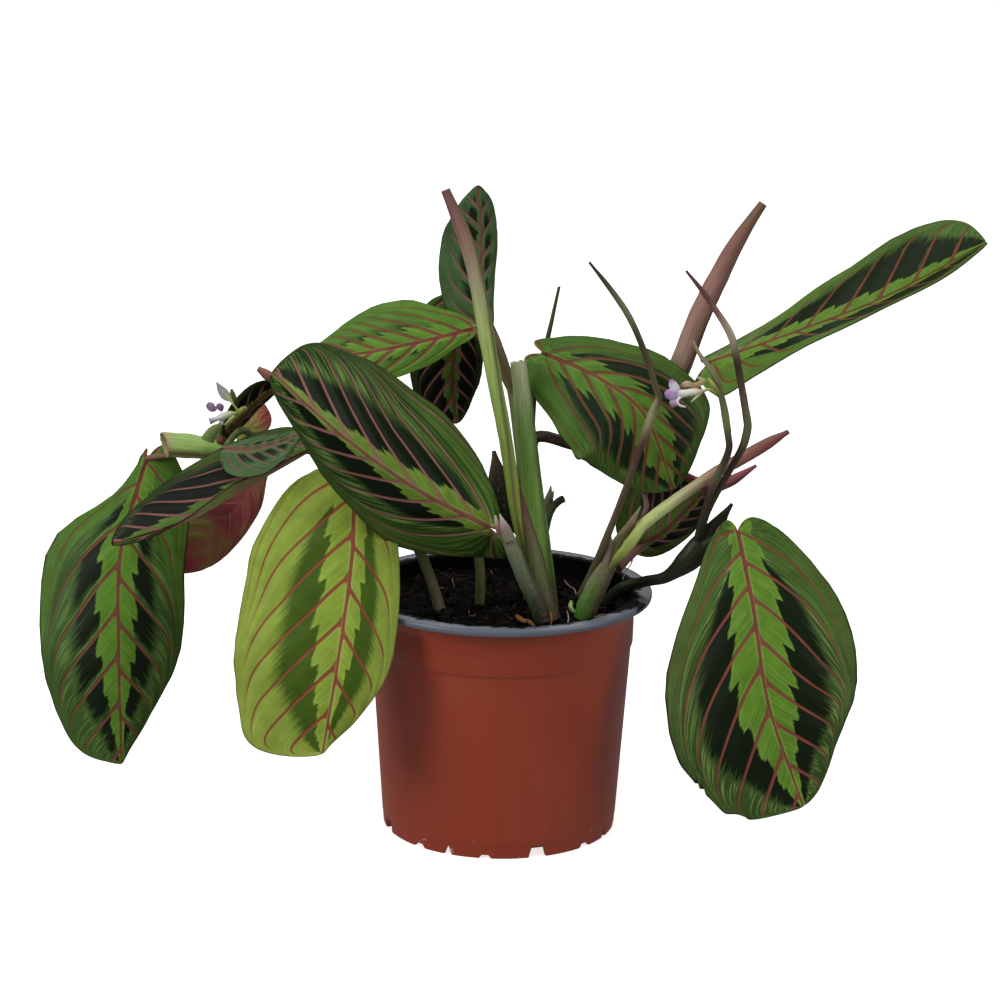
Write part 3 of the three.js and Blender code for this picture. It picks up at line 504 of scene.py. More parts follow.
def read_smooth(values, shares):
    """Values spread evenly from 0 to 1, read smoothly at shares between them."""
    values = np.asarray(values, float)
    last = len(values) - 1
    place = np.clip(shares, 0, 1) * last
    index = np.minimum(place.astype(int), last - 1)
    part = place - index
    if values.ndim > 1:
        part = part[..., None]
    before, start = values[np.maximum(index - 1, 0)], values[index]
    end, after = values[index + 1], values[np.minimum(index + 2, last)]
    slope, end_slope = (end - before) / 2, (after - start) / 2
    cube, square = 2 * (start - end) + slope + end_slope, 3 * (end - start) - 2 * slope - end_slope
    return ((cube * part + square) * part + slope) * part + start


def follow(points, shares):
    """Places on a smooth path at shares of its length, and the direction in which it runs."""
    points = np.array(points, float)
    ends = [2 * points[0] - points[1]], [2 * points[-1] - points[-2]]
    points = np.vstack([ends[0], points, ends[1]])

    def read(place):
        index = np.minimum(place.astype(int), len(points) - 4)
        part = (place - index)[..., None]
        before, start, end, after = (points[index + step] for step in range(4))
        slope, end_slope = (end - before) / 2, (after - start) / 2
        cube, square = 2 * (start - end) + slope + end_slope, 3 * (end - start) - 2 * slope - end_slope
        spot = ((cube * part + square) * part + slope) * part + start
        return spot, (3 * cube * part + 2 * square) * part + slope

    steps = np.linspace(0, len(points) - 3, 400)
    lengths = np.linalg.norm(np.diff(read(steps)[0], axis=0), axis=1)
    reached = np.concatenate([[0], np.cumsum(lengths)])
    spot, forward = read(np.interp(np.asarray(shares) * reached[-1], reached, steps))
    return spot, forward / np.linalg.norm(forward, axis=-1, keepdims=True)


def space_of(phase, points, rows, columns):
    """Distance on the surface, in millimetres, over which the phase grows by one."""
    by_row, by_column = np.gradient(points, rows, axis=0), np.gradient(points, columns, axis=1)
    row_rate, column_rate = np.gradient(phase, rows, axis=0), np.gradient(phase, columns, axis=1)
    long, wide = np.sum(by_row**2, axis=-1), np.sum(by_column**2, axis=-1)
    skew = np.sum(by_row * by_column, axis=-1)
    steep = wide * row_rate**2 - 2 * skew * row_rate * column_rate + long * column_rate**2
    area = np.maximum(long * wide - skew**2, 1e-6)
    return np.clip(np.sqrt(area / np.maximum(steep, 1e-9)), 0, 40)


lobe_share = np.arange(LOBE_ROWS) / LOBE_ROWS
blade_share = np.arange(BLADE_ROWS + 1) / BLADE_ROWS
VEIN_ROWS = np.concatenate([lobe_share**1.8 - 1, 1 - (1 - blade_share) ** 1.5])[:, None]
side_share = np.arange(1, SIDE_COLUMNS + 1) / SIDE_COLUMNS
# The thin column before the midrib keeps the two sides' vein patterns apart
ACROSS = np.concatenate([-side_share[::-1], [-0.004, 0], side_share])[None, :]


def shape_blade(leaf):
    """Points of a blade, and the fields that its pattern follows: share of the way to the margin,
    place in the row of veins, row; spacing of the veins, distance from the midrib, side."""
    leaf = {**PLAIN_LEAF, **leaf}
    across = np.abs(ACROSS) ** 0.85
    side = (ACROSS >= 0).astype(int)
    vein = VEIN_ROWS

    def pick(pair):
        return np.where(side == 1, pair[1], pair[0])

    run = ROW_LEAN * (0.35 * across + 0.65 * across**2.5)
    along = np.where(vein < 0, (1 + vein) * run, np.minimum(vein + (1 - vein) * run, 1))
    lobe = np.where(vein < 0, pick(leaf["lobe"]) * np.sin(math.pi * across**0.75) * vein**4, 0)
    blunt = np.where(vein > 0, pick(leaf["blunt"]) * across**2 * np.abs(vein) ** 3, 0)
    centre, forward = follow(leaf["spine"], along)
    centre = centre + forward * (blunt * np.sqrt(np.clip(1 - vein, 0, 1)) - lobe)[..., None]
    facing = read_smooth(leaf["face"], along)
    facing -= forward * np.sum(facing * forward, axis=-1, keepdims=True)
    facing /= np.linalg.norm(facing, axis=-1, keepdims=True)
    right = np.cross(forward, facing)
    angle = np.arccos(1 - 2 * along) / math.pi
    widths = [read_smooth([*leaf[name], 0], angle) for name in ("left", "right")]
    half = np.maximum(pick(widths), 0)
    # Side veins slant towards the tip and bend round to run beside the margin. Those of the basal
    # lobes fan out from the stalk
    length = np.sum(np.linalg.norm(np.diff(leaf["spine"], axis=0), axis=1))
    bend = VEIN_BEND * across**12
    sweep = leaf["sweep"] * (0.55 + 0.9 * np.minimum(along, 0.5)) * half / length * across
    source = (along - lobe / length - sweep - bend) / (1 - bend)
    fan = LOBE_VEINS * source / (np.abs(source) + 0.6 * across + 1e-6)
    phase = np.where(source < 0, fan, leaf["veins"] * np.clip(source, 0, 1) ** 0.9)
    phase = phase + VEIN_SHIFT * side
    # The margin is a little uneven, and torn where the leaf says so
    half = half * (1 + 0.008 * across**6 * np.sin(47 * along + 5 * side) * np.sin(19 * along))
    for torn_side, at, width, depth in leaf["torn"]:
        gap = depth * np.exp(-(((vein - at) / width) ** 4)) * across**8
        half = half * np.where(side == torn_side, 1 - gap, 1)
    fold = np.radians(pick([read_smooth(leaf["fold"][s], along) for s in (0, 1)]))
    curl = np.radians(pick(leaf["curl"]))
    turned = fold + curl * across
    out = half / curl * (np.sin(turned) - np.sin(fold))
    rise = half / curl * (np.cos(fold) - np.cos(turned))
    rise = rise + leaf["ripple"] * across**3 * np.sin(math.pi * RIPPLES * along + 2 * side)
    # The blade is quilted: it bulges between its veins and sinks at them
    window = np.clip(across / 0.15, 0, 1) * np.clip((1 - across) / 0.2, 0, 1)
    window = window * np.clip(1 - vein, 0, 0.3) / 0.3
    rise = rise + leaf["quilt"] * window * np.sin(math.pi * (phase % 1)) ** 2
    points = centre + right * (np.where(side == 1, 1, -1) * out)[..., None] + facing * rise[..., None]
    spacing = space_of(phase, points, vein[:, 0], ACROSS[0])
    everywhere = np.ones_like(along)
    return points, {
        "blade": np.stack([across * everywhere, phase * everywhere, vein * everywhere], axis=-1),
        "scale": np.stack([spacing, half * across, side * everywhere], axis=-1),
    }


# Each leaf: its midrib from stalk to tip, the way it faces, its half widths, its basal lobes,
# folds and curls, as in the part; its finish, the number and sweep of its veins, the height of
# its ripples and how far it bulges between its veins
LEAVES = {
    "leaf_01": {
        "finish": "hanging", "veins": 7, "lobe": [8, 5], "ripple": 0.8, "quilt": 0.5,
        "spine": [[-143, 15, 144], [-152, 0, 110], [-152, -12, 71], [-151, -16, 27]],
        "face": [[-0.2, -0.9, 0.3], [-0.1, -0.95, 0.1], [0, -1, -0.1]],
        "left": [14, 19, 24, 26, 27, 23, 12, 3], "right": [3, 4, 11, 31, 34, 32, 26, 16],
        "fold": [[-10, -10, -10], [0, 0, 0]], "curl": [-25, -20], "blunt": [0, 4],
    },
    "leaf_02": {
        "finish": "young", "veins": 6.6, "lobe": [4, 4], "ripple": 0.8, "quilt": 0.6,
        "spine": [[-58, -24, 150], [-58, -42, 122], [-62.5, -60, 85], [-68, -68, 50.5]],
        "face": [[0.1, -0.95, 0.3], [0, -1, 0.1], [0, -1, 0]],
        "left": [10, 14, 16, 19, 21, 20, 12, 3], "right": [17, 25, 34, 40, 41, 41, 36, 26],
        "fold": [[-5, -5, -5], [0, 0, 0]], "curl": [-15, -20], "blunt": [0, 31],
    },
    "leaf_03": {
        "finish": "glossy", "veins": 7, "sweep": 2.1, "lobe": [18, 6], "ripple": 0.6, "quilt": 0.7,
        "spine": [[-5, -24, 129], [-34, -44, 150], [-62, -60, 175], [-87, -66, 200]],
        "face": [[0.6, -0.62, 0.3], [0.6, -0.62, 0.32], [0.5, -0.7, 0.3]],
        "left": [14, 18, 23, 25.5, 21.5, 16, 10, 5], "right": [6, 20, 32, 38, 39, 36, 30, 19],
        "fold": [[-38, -47, -52], [0, 0, 0]], "curl": [-20, -15],
    },
    "leaf_04": {
        "finish": "bright", "veins": 8, "sweep": 1.7, "lobe": [2, 2], "ripple": 0.5, "quilt": 0.4,
        "spine": [[-13, 18, 199], [-33, 12, 195], [-55, 8, 191], [-80, 5, 188]],
        "face": [[0, -0.85, 0.55], [0, -0.85, 0.55], [0, -0.85, 0.55]],
        "left": [2, 4, 6, 10, 12, 11, 8, 4], "right": [3, 8, 14, 20, 21, 16, 9, 3],
    },
    "leaf_05": {
        "finish": "shaded", "veins": 7, "lobe": [3, 3], "ripple": 0.8, "quilt": 0.5,
        "spine": [[-16, 33, 209], [-20, 35, 189], [-21, 35, 172], [-19, 33, 157]],
        "face": [[0, -1, 0.1], [0, -1, 0.1], [0, -1, 0.1]],
        "left": [3, 6, 9, 11, 12, 11, 7, 3], "right": [6, 10, 15, 17, 18, 17, 13, 6],
    },
    "leaf_06": {
        "finish": "greyed", "veins": 7, "lobe": [2, 2], "ripple": 0.6, "quilt": 0.4,
        "spine": [[-7, 28, 198], [-10, 30, 217], [-10, 30, 235], [-12, 28, 255]],
        "face": [[0, -1, 0.1], [0, -1, 0.1], [0, -1, 0.1]],
        "left": [4, 8, 15, 17, 17, 15, 9, 3], "right": [2, 3, 4, 6, 7, 7, 6, 3],
        "fold": [[0, 0, 0], [-20, -20, -20]],
    },
    "leaf_07": {
        "finish": "shaded", "veins": 6, "sweep": 2.2, "lobe": [3, 3], "ripple": 0.6, "quilt": 0.4,
        "spine": [[-74, -12, 157], [-99, -22, 144], [-124, -30, 131], [-151, -38, 124]],
        "face": [[-0.1, -0.75, 0.65], [-0.1, -0.75, 0.65], [-0.1, -0.8, 0.6]],
        "left": [2, 4, 6, 7, 7, 6, 4, 2], "right": [10, 15, 20, 22, 23, 20, 14, 6],
        "fold": [[60, 80, 20], [0, 0, 0]], "curl": [20, -15],
    },
    "leaf_08": {
        "finish": "mature", "veins": 8, "lobe": [3, 3], "ripple": 0.8, "quilt": -0.4,
        "spine": [[-97, 18, 143], [-106, 24, 126], [-121, 28, 109], [-138, 30, 96]],
        "face": [[0.2, 0.95, 0.2], [0.2, 0.95, 0.2], [0.2, 0.95, 0.2]],
        "left": [4, 6, 9, 12, 13, 12, 10, 6], "right": [3, 4, 6, 9, 11, 12, 10, 6],
        "curl": [15, 15],
    },
    "leaf_09": {
        "finish": "greyed", "veins": 6, "lobe": [2, 2], "ripple": 0.5, "quilt": 0.3,
        "spine": [[-108, -22, 159], [-98, -26, 160], [-88, -28, 163], [-78, -28, 167]],
        "face": [[0, -0.9, 0.35], [0, -0.9, 0.35], [0, -0.9, 0.35]],
        "left": [1, 2, 4, 5, 5, 4, 3, 1], "right": [6, 9, 11, 12, 11, 8, 4, 1.5],
        "fold": [[-20, -20, -20], [0, 0, 0]], "curl": [-10, 30],
    },
    "leaf_10": {
        "finish": "shaded", "veins": 5, "lobe": [1, 1], "ripple": 0.3, "quilt": 0.3,
        "spine": [[-110, 0, 158], [-103, 2, 166], [-96, 4, 173], [-86, 6, 180]],
        "face": [[0.3, -0.9, 0], [0.3, -0.9, 0], [0.3, -0.9, 0]],
        "left": [2, 4, 6, 8.5, 9, 8, 5, 2], "right": [2, 3, 4, 4.5, 4.5, 4, 3, 1.5],
        "fold": [[10, 10, 10], [-30, -30, -30]], "curl": [20, -20],
    },
    "leaf_11": {
        "finish": "mature", "veins": 5, "lobe": [1, 1], "ripple": 0.3, "quilt": -0.2,
        "spine": [[-105, 11, 153], [-102, 12, 158], [-98, 13, 162], [-96, 14, 169]],
        "face": [[0, 1, 0.01], [0, 1, 0.01], [0, 1, 0.01]],
        "left": [1, 3, 5, 6, 6, 5, 3, 1], "right": [1, 2, 4, 5, 5, 4, 3, 1],
        "curl": [20, 20],
    },
    "leaf_12": {
        "finish": "patched", "veins": 7, "sweep": 1.9, "lobe": [7, 7], "ripple": 0.6, "quilt": 0.5,
        "spine": [[16, 10, 191], [37, 0, 184], [55, -8, 171], [67, -10, 142]],
        "face": [[0.1, -0.85, 0.5], [0.2, -0.9, 0.4], [0.3, -0.95, 0.1]],
        "left": [8, 11, 15, 20, 25, 27.5, 17, 8], "right": [12, 17, 22, 28, 31.5, 29, 21, 11],
    },
    "leaf_13": {
        "finish": "long", "veins": 8, "lobe": [6, 6], "ripple": 0.6, "quilt": 0.4,
        "spine": [[82, 12, 189], [115, 5, 203], [148, 0, 218], [186, -5, 241]],
        "face": [[-0.3, -0.7, 0.6], [-0.3, -0.8, 0.5], [-0.3, -0.85, 0.45]],
        "left": [18, 19, 18, 18, 20, 22, 20, 13], "right": [18, 18, 15, 14, 14.5, 15, 13, 6],
        "fold": [[-45, -10, 0], [0, 45, 50]], "curl": [-10, 10],
    },
    "leaf_14": {
        "finish": "mature", "veins": 7, "lobe": [5, 5], "ripple": 1, "quilt": 0.6,
        "spine": [[92, -20, 128], [98, -38, 101], [104, -52, 67], [118, -60, 29]],
        "face": [[0.1, -0.9, 0.4], [0, -0.95, 0.3], [0.05, -1, 0.15]],
        "left": [16, 20, 28, 36, 38.5, 34, 20, 9], "right": [9, 13, 20, 30, 38, 40.5, 34, 24],
        "blunt": [0, 9], "torn": [(1, 0.5, 0.012, 0.05), (1, 0.56, 0.02, 0.06), (1, 0.86, 0.05, 0.12)],
    },
    "leaf_15": {
        "finish": "shaded", "veins": 7, "lobe": [5, 3], "ripple": 0.6, "quilt": 0.4,
        "spine": [[53, 6, 114], [63, 9, 118], [73, 13, 127], [83, 16, 138]],
        "face": [[0.2, -0.95, 0.2], [0.2, -0.95, 0.2], [0.2, -0.95, 0.2]],
        "left": [16, 20, 23, 23, 21, 17, 11, 5], "right": [3, 5, 7, 8, 9, 8, 6, 3],
    },
}

LEAF_SHEEN = 0.13
ZONES = (
    "lime", "lime_line", "rim", "dark", "outer", "outer_line", "silver", "vein", "midrib", "border",
    "edge",
)
# Living leaf surface by age, and by light. The shaded one is a darker copy, painted shade for
# leaves that lie in the shade of others; the greyed one is grey and flat, in part painted sheen
# on a leaf seen at a glancing angle. Each gives the colours of its zones in that order, its gloss,
# how far out the lime band and the dark patches reach as shares of the half width, from which row
# the band narrows, how much of the space from each vein to the next a patch fills, how long the
# streaks are in which the patches end, and how pale the basal lobes are. What a finish doesn't
# say is as in the plain one
PLAIN_FINISH = {"roughness": 0.48, "fill": 1.3, "streak": 0.45, "lobes": 0.5}
LEAF_FINISHES = {
    "mature": {
        "zones": "#628c2a #71993a #8fae46 #13200c #3e5526 #557234 #86a254 #8a4a3e #84463a #86a446 #3c3424",
        "band": 0.28, "narrows": 0.6, "reach": 0.68, "lobes": 0.2,
    },
    "patched": {
        "zones": "#547a26 #608830 #7a9c3e #16260e #38531f #4a6a2c #64823c #744734 #7c4434 #6f9238 #3c4424",
        "band": 0.27, "narrows": 0.82, "reach": 0.7, "fill": 0.86,
    },
    "hanging": {
        "zones": "#5c8a2a #6a9436 #7a9c3e #14200e #42602a #557436 #6c8a44 #7c4a38 #7c4434 #6f9238 #3c4424",
        "band": 0.23, "narrows": 0.6, "reach": 0.55, "fill": 0.85,
    },
    "long": {
        "zones": "#648a2e #729638 #84a043 #1a2611 #48662a #5a7a38 #6a883e #7c4a36 #7c4434 #6f9238 #44492a",
        "band": 0.24, "narrows": 0.4, "reach": 0.8, "fill": 1,
    },
    # Grey and flat, in part painted sheen: leaf_09 is seen at a glancing angle
    "greyed": {
        "zones": "#4f6e38 #5c7c44 #64824a #1c2a18 #46643c #547348 #607c50 #8a6258 #80584c #607c4c #3c4430",
        "band": 0.14, "narrows": 0.4, "reach": 0.5, "fill": 0.7,
    },
    "shaded": {
        "zones": "#526f28 #648236 #7c9440 #0e140a #1f2d14 #344a22 #4c6232 #8a5a56 #6e3d36 #4c6428 #2c2018",
        "roughness": 0.5, "band": 0.2, "narrows": 0.82, "reach": 0.82,
    },
    "glossy": {
        "zones": "#769a32 #8cae46 #a8c25a #12200c #2c481e #5c7c38 #8eac56 #a8716a #9c6350 #a0b060 #4c3c2c",
        "roughness": 0.36, "band": 0.17, "narrows": 0.2, "reach": 0.52, "lobes": 0.12,
    },
    "bright": {
        "zones": "#5f8c2c #6e9a38 #85a843 #1c3013 #52782a #618936 #638a34 #84453a #804238 #7a9a40 #4c5430",
        "roughness": 0.44, "band": 0.3, "narrows": 0.82, "reach": 0.42, "fill": 0.7,
    },
    "young": {
        "zones": "#90aa3c #9cb64a #a9bf58 #48631a #93a843 #9fb34c #86a23c #97503a #985038 #a8bc60 #8c9048",
        "roughness": 0.46, "band": 0.24, "narrows": 0.55, "reach": 0.58, "streak": 0.16,
    },
}


def new_leaf_finish(kind):
    """The upper face of a living leaf, with its zones and veins."""
    tone = {**PLAIN_FINISH, **LEAF_FINISHES[kind]}
    finish, tree, inputs = new_finish(f"living leaf, {kind}, upper face", tone["roughness"], LEAF_SHEEN)
    colours = dict(zip(ZONES, tone["zones"].split()))
    blade, scale = (
        add_node(tree, "Attribute", attribute_name=name).node.outputs["Vector"]
        for name in ("blade", "scale")
    )
    out, phase, row = add_node(tree, "SeparateXYZ", [blade]).node.outputs
    spacing, from_midrib, side = add_node(tree, "SeparateXYZ", [scale]).node.outputs

    # Fine lines run beside the veins, about seven to each space between two
    fanned = add_node(tree, "CombineXYZ", [phase, out, side])
    lines = add_node(tree, "Mapping", {"Vector": fanned, "Scale": (13, 2, 9)})
    lines = add_node(tree, "TexNoise", {"Vector": lines, "Scale": 1, "Detail": 1})
    teeth = add_node(tree, "Mapping", {"Vector": fanned, "Scale": (6, 7, 9)})
    teeth = add_node(tree, "TexNoise", {"Vector": teeth, "Scale": 1, "Detail": 2})
    here = add_node(tree, "TexCoord").node.outputs["Object"]
    mottle = add_node(tree, "TexNoise", {"Vector": here, "Scale": 160, "Detail": 4})

    # The lime band ends in a lobe towards each vein, cut back sharply half way between two
    share = add_node(tree, "Math", [phase], operation="FRACT")
    lobes = [(0, 1), (0.4, 1.14), (0.48, 1.12), (0.56, 0.84), (0.8, 0.9), (1, 1)]
    band = add_node(
        tree, "ValToRGB", [share],
        stops=[(place, [value * tone["band"]] * 3 + [1]) for place, value in lobes],
    )
    narrowed = add_node(tree, "MapRange", [row, tone["narrows"], 1, 1, 0.3])
    band = add_node(tree, "Math", [band, narrowed], operation="MULTIPLY")
    jagged = add_node(tree, "Math", [teeth, 0.09, -0.045], operation="MULTIPLY_ADD")
    edge = add_node(tree, "Math", [band, jagged], operation="ADD")
    past_band = add_node(tree, "Math", [out, edge], operation="SUBTRACT")
    beyond = add_node(tree, "MapRange", [past_band, 0, 0.03])

    # The dark patches end in streaks beside the veins, with silvery streaks past them. There are
    # none in the basal lobes, and they draw in towards the tip
    rows = [(0.01, 0), (0.07, 0.75), (0.3, 1), (0.7, 1), (1, 0.45)]
    drawn_in = add_node(
        tree, "ValToRGB", [row], stops=[(place, [value] * 3 + [1]) for place, value in rows],
    )
    reach = add_node(tree, "Math", [drawn_in, tone["reach"]], operation="MULTIPLY")
    streak = tone["streak"]
    streaked = add_node(tree, "Math", [lines, streak, -streak / 2], operation="MULTIPLY_ADD")
    reach = add_node(tree, "Math", [reach, streaked], operation="ADD")
    past_dark = add_node(tree, "Math", [out, reach], operation="SUBTRACT")
    within = add_node(tree, "MapRange", [past_dark, -0.07, 0.05, 1, 0])
    patch = add_node(tree, "Math", [within, beyond], operation="MULTIPLY")
    # Each starts at a vein and fills a share of the space towards the next one
    ragged = add_node(tree, "Math", [teeth, 0.4, -0.2], operation="MULTIPLY_ADD")
    past_fill = add_node(tree, "Math", [share, ragged], operation="ADD")
    low, high = tone["fill"] - 0.08, tone["fill"] + 0.08
    filled = add_node(tree, "MapRange", [past_fill, low, high, 1, 0])
    patch = add_node(tree, "Math", [patch, filled], operation="MULTIPLY")
    near_patch = add_node(tree, "MapRange", [past_dark, 0, 0.3, 1, 0])
    bright_line = add_node(tree, "MapRange", [lines, 0.48, 0.6])
    silvery = add_node(tree, "Math", [near_patch, bright_line], operation="MULTIPLY")

    # The basal lobes are paler than the rest of the margin, some leaves' less so
    basal = add_node(tree, "MapRange", [row, 0, 0.06, tone["lobes"], 0])
    at_rim = add_node(tree, "Math", [past_band], operation="ABSOLUTE")
    at_rim = add_node(tree, "MapRange", [at_rim, 0.004, 0.02, 0.3, 0])
    # The midrib is 1.5 mm wide at the stalk and 0.5 mm at the tip, with a pale line on each side
    taper = add_node(tree, "MapRange", [row, 0, 1, 0.75, 0.25])
    off_rib = add_node(tree, "Math", [from_midrib, taper], operation="SUBTRACT")
    border = add_node(tree, "MapRange", [off_rib, 0.5, 1.1, 0.8, 0])
    midrib = add_node(tree, "MapRange", [off_rib, -0.1, 0.25, 1, 0])
    # Side veins are 1.2 mm wide at the midrib, thin out, and fade where they crowd at the margin
    near = add_node(tree, "Math", [phase, 0.5], operation="PINGPONG")
    off_vein = add_node(tree, "Math", [near, spacing], operation="MULTIPLY")
    width = add_node(tree, "MapRange", [out, 0.1, 0.95, 0.62, 0.25])
    off_vein = add_node(tree, "Math", [off_vein, width], operation="SUBTRACT")
    veins = add_node(tree, "MapRange", [off_vein, -0.12, 0.22, 1, 0])
    fading = add_node(tree, "MapRange", [spacing, 1.4, 5])
    veins = add_node(tree, "Math", [veins, fading], operation="MULTIPLY")
    margin = add_node(tree, "MapRange", [out, 0.975, 0.995])

    # The ground colours have pale lines, and each zone is laid over the ones before it
    outer, lime = (
        add_node(
            tree, "Mix",
            {"Factor": bright_line, "A": colours[name], "B": colours[f"{name}_line"]}, data_type="RGBA",
        )
        for name in ("outer", "lime")
    )
    zones = outer
    for factor, zone in (
        (basal, "lime"), (silvery, "silver"), (patch, "dark"), (beyond, None), (at_rim, "rim"),
        (border, "border"), (veins, "vein"), (midrib, "midrib"), (margin, "edge"),
    ):
        over = {"A": zones, "B": colours[zone]} if zone else {"A": lime, "B": zones}
        zones = add_node(tree, "Mix", {"Factor": factor, **over}, data_type="RGBA")
    shade = add_node(tree, "MapRange", [mottle, 0.3, 0.7, 0.86, 1.1])
    colour = add_node(tree, "VectorMath", {0: zones, "Scale": shade}, operation="SCALE")
    tree.links.new(colour, inputs["Base Color"])

    # Veins are sunk, the fine lines between them just show in the sheen
    relief = add_node(tree, "Math", [lines, 0.25], operation="MULTIPLY")
    for rib in (veins, midrib):
        relief = add_node(tree, "Math", [relief, rib], operation="SUBTRACT")
    bump = add_node(tree, "Bump", {"Height": relief, "Strength": 0.6, "Distance": 0.0004})
    tree.links.new(bump, inputs["Normal"])
    return finish


# The lower face is matt and wine red, mottled with green that is painted light shining through
# the blade, and its veins are raised
lower_face, tree, inputs = new_finish("living leaf, lower face", 0.55, 0.35)
blade = add_node(tree, "Attribute", attribute_name="blade").node.outputs["Vector"]
blade = add_node(tree, "SeparateXYZ", [blade]).node.outputs
here = add_node(tree, "TexCoord").node.outputs["Object"]
clouds = add_node(tree, "TexNoise", {"Vector": here, "Scale": 45, "Detail": 3})
colour = add_node(
    tree, "ValToRGB", [clouds],
    stops=[(0.36, "#98404a"), (0.47, "#ac5c52"), (0.54, "#a67c52"), (0.62, "#8fa352")],
)
near = add_node(tree, "Math", [blade["Y"], 0.5], operation="PINGPONG")
veins = add_node(tree, "MapRange", [near, 0.03, 0.1, 0.8, 0])
colour = add_node(tree, "Mix", {"Factor": veins, "A": colour, "B": "#b8756a"}, data_type="RGBA")
tree.links.new(colour, inputs["Base Color"])
bump = add_node(tree, "Bump", {"Height": veins, "Strength": 0.7, "Distance": 0.0004})
tree.links.new(bump, inputs["Normal"])

upper_faces = {kind: new_leaf_finish(kind) for kind in LEAF_FINISHES}
for name, leaf in LEAVES.items():
    points, fields = shape_blade(leaf)
    form, places = lay_grid(ACROSS.size - 1, VEIN_ROWS.size - 1)
    shape_grid(form, places, points, fields)
    bmesh.ops.remove_doubles(form, verts=form.verts, dist=SAME_PLACE)
    slot = "young_leaf_blade" if leaf["finish"] == "young" else "leaf_blade"
    faces = [upper_faces[leaf["finish"]], lower_face]
    piece = add_piece(f"{name}_blade", form, faces, [name], sharp=80)
    thick = piece.modifiers.new("thickness", "SOLIDIFY")
    thick.thickness = BLADE_THICKNESS * MM
    thick.offset = 0
    thick.material_offset = 1


# Stalks and rolled leaves are fleshy round stems, finely ribbed along their length, which grow
# out of the soil and out of one another. A sheath is the foot of a leaf, rolled round its stalk,
# and a bract is a small leaf without a blade
STALK_SIDES = 28
RINGS_PER_STEP = 9
# How far a seam stands out, and how uneven a stem is, as shares of its radius
SEAM_STEP = 0.1
UNEVENNESS = 0.05
# A seam of place 0 runs up the left of an upright stem, and one of place 1.6 up its front
SEAM_START = -math.pi / 2 - 1.6


def limb(points, radii, tints, seam=None, flat=1, mouth=0, slant=0, ragged=0):
    """A closed limb on a path, with radii and colours spread evenly from its foot to its end: its
    points, its colours, and the length and girth in millimetres that its ribs follow. A seam has a
    place, a twist and a colour. The end is open for the share of the length called mouth, and its
    edge slanted and ragged by so many millimetres."""
    rings = (len(points) - 1) * RINGS_PER_STEP
    # Both ends are rounded off by smaller rings, which in a mouth lie inside
    end = [0.86, 0.8, 0] if mouth else [0.75, 0]
    back = [1, 1 - mouth, 1 - mouth][-len(end):]
    along = np.concatenate([[0, 0], np.linspace(0, 1, rings + 1), back])
    size = np.concatenate([[0, 0.75], np.ones(rings + 1), end])
    middle, forward = follow(points, along)
    wide = np.cross([0, 1, 0], forward)
    wide /= np.linalg.norm(wide, axis=1, keepdims=True)
    deep = np.cross(wide, forward)
    radius = read_smooth(radii, along) * size
    turn = np.linspace(0, math.tau, STALK_SIDES + 1)[None, :]
    # A rolled leaf or a sheath thickens round its turn to an overlapping edge, the seam
    place, twist, seam_tint = seam or (0, 0, None)
    swell = 1 - (SEAM_STEP if seam else 0) * (turn / math.tau) * (turn < math.tau)
    facing = turn + SEAM_START + place + twist * math.pi * along[:, None]
    lumps = np.vectorize(lambda a, t: noise.noise(Vector((a * rings * 0.35, t, radius.mean()))))
    reach = radius[:, None] * swell * (1 + UNEVENNESS * lumps(along[:, None], np.cos(turn)))
    spots = (
        middle[:, None]
        + wide[:, None] * (np.cos(facing) * reach)[..., None]
        - deep[:, None] * (np.sin(facing) * reach * flat)[..., None]
    )
    edge = slant * np.cos(turn) + ragged * lumps(7.0, np.sin(turn * 2) * 2)
    near_end = np.clip((along[:, None] - 0.85) / 0.15, 0, 1) * np.minimum(size[:, None] * 1.2, 1)
    spots = spots + forward[:, None] * (edge * near_end)[..., None]
    spots[:, -1] = spots[:, 0]
    colours = read_smooth([linear(tint)[:3] for tint in tints.split()], along)[:, None]
    colours = np.clip(colours, 0.004, 1) * np.ones_like(spots)
    if seam:
        at_seam = np.exp(-((np.minimum(turn, math.tau - turn) / 0.3) ** 2))[..., None]
        colours = colours * (1 - at_seam) + np.array(linear(seam_tint)[:3]) * at_seam
    length = np.linalg.norm(np.diff(middle, axis=0), axis=1)
    length = np.concatenate([[0], np.cumsum(length)])[:, None] * np.ones_like(turn)
    girth = turn * radius.mean() * np.ones_like(length)
    grain = np.stack([length, girth, np.zeros_like(girth)], axis=-1)
    return spots, {"tint": colours, "grain": grain}
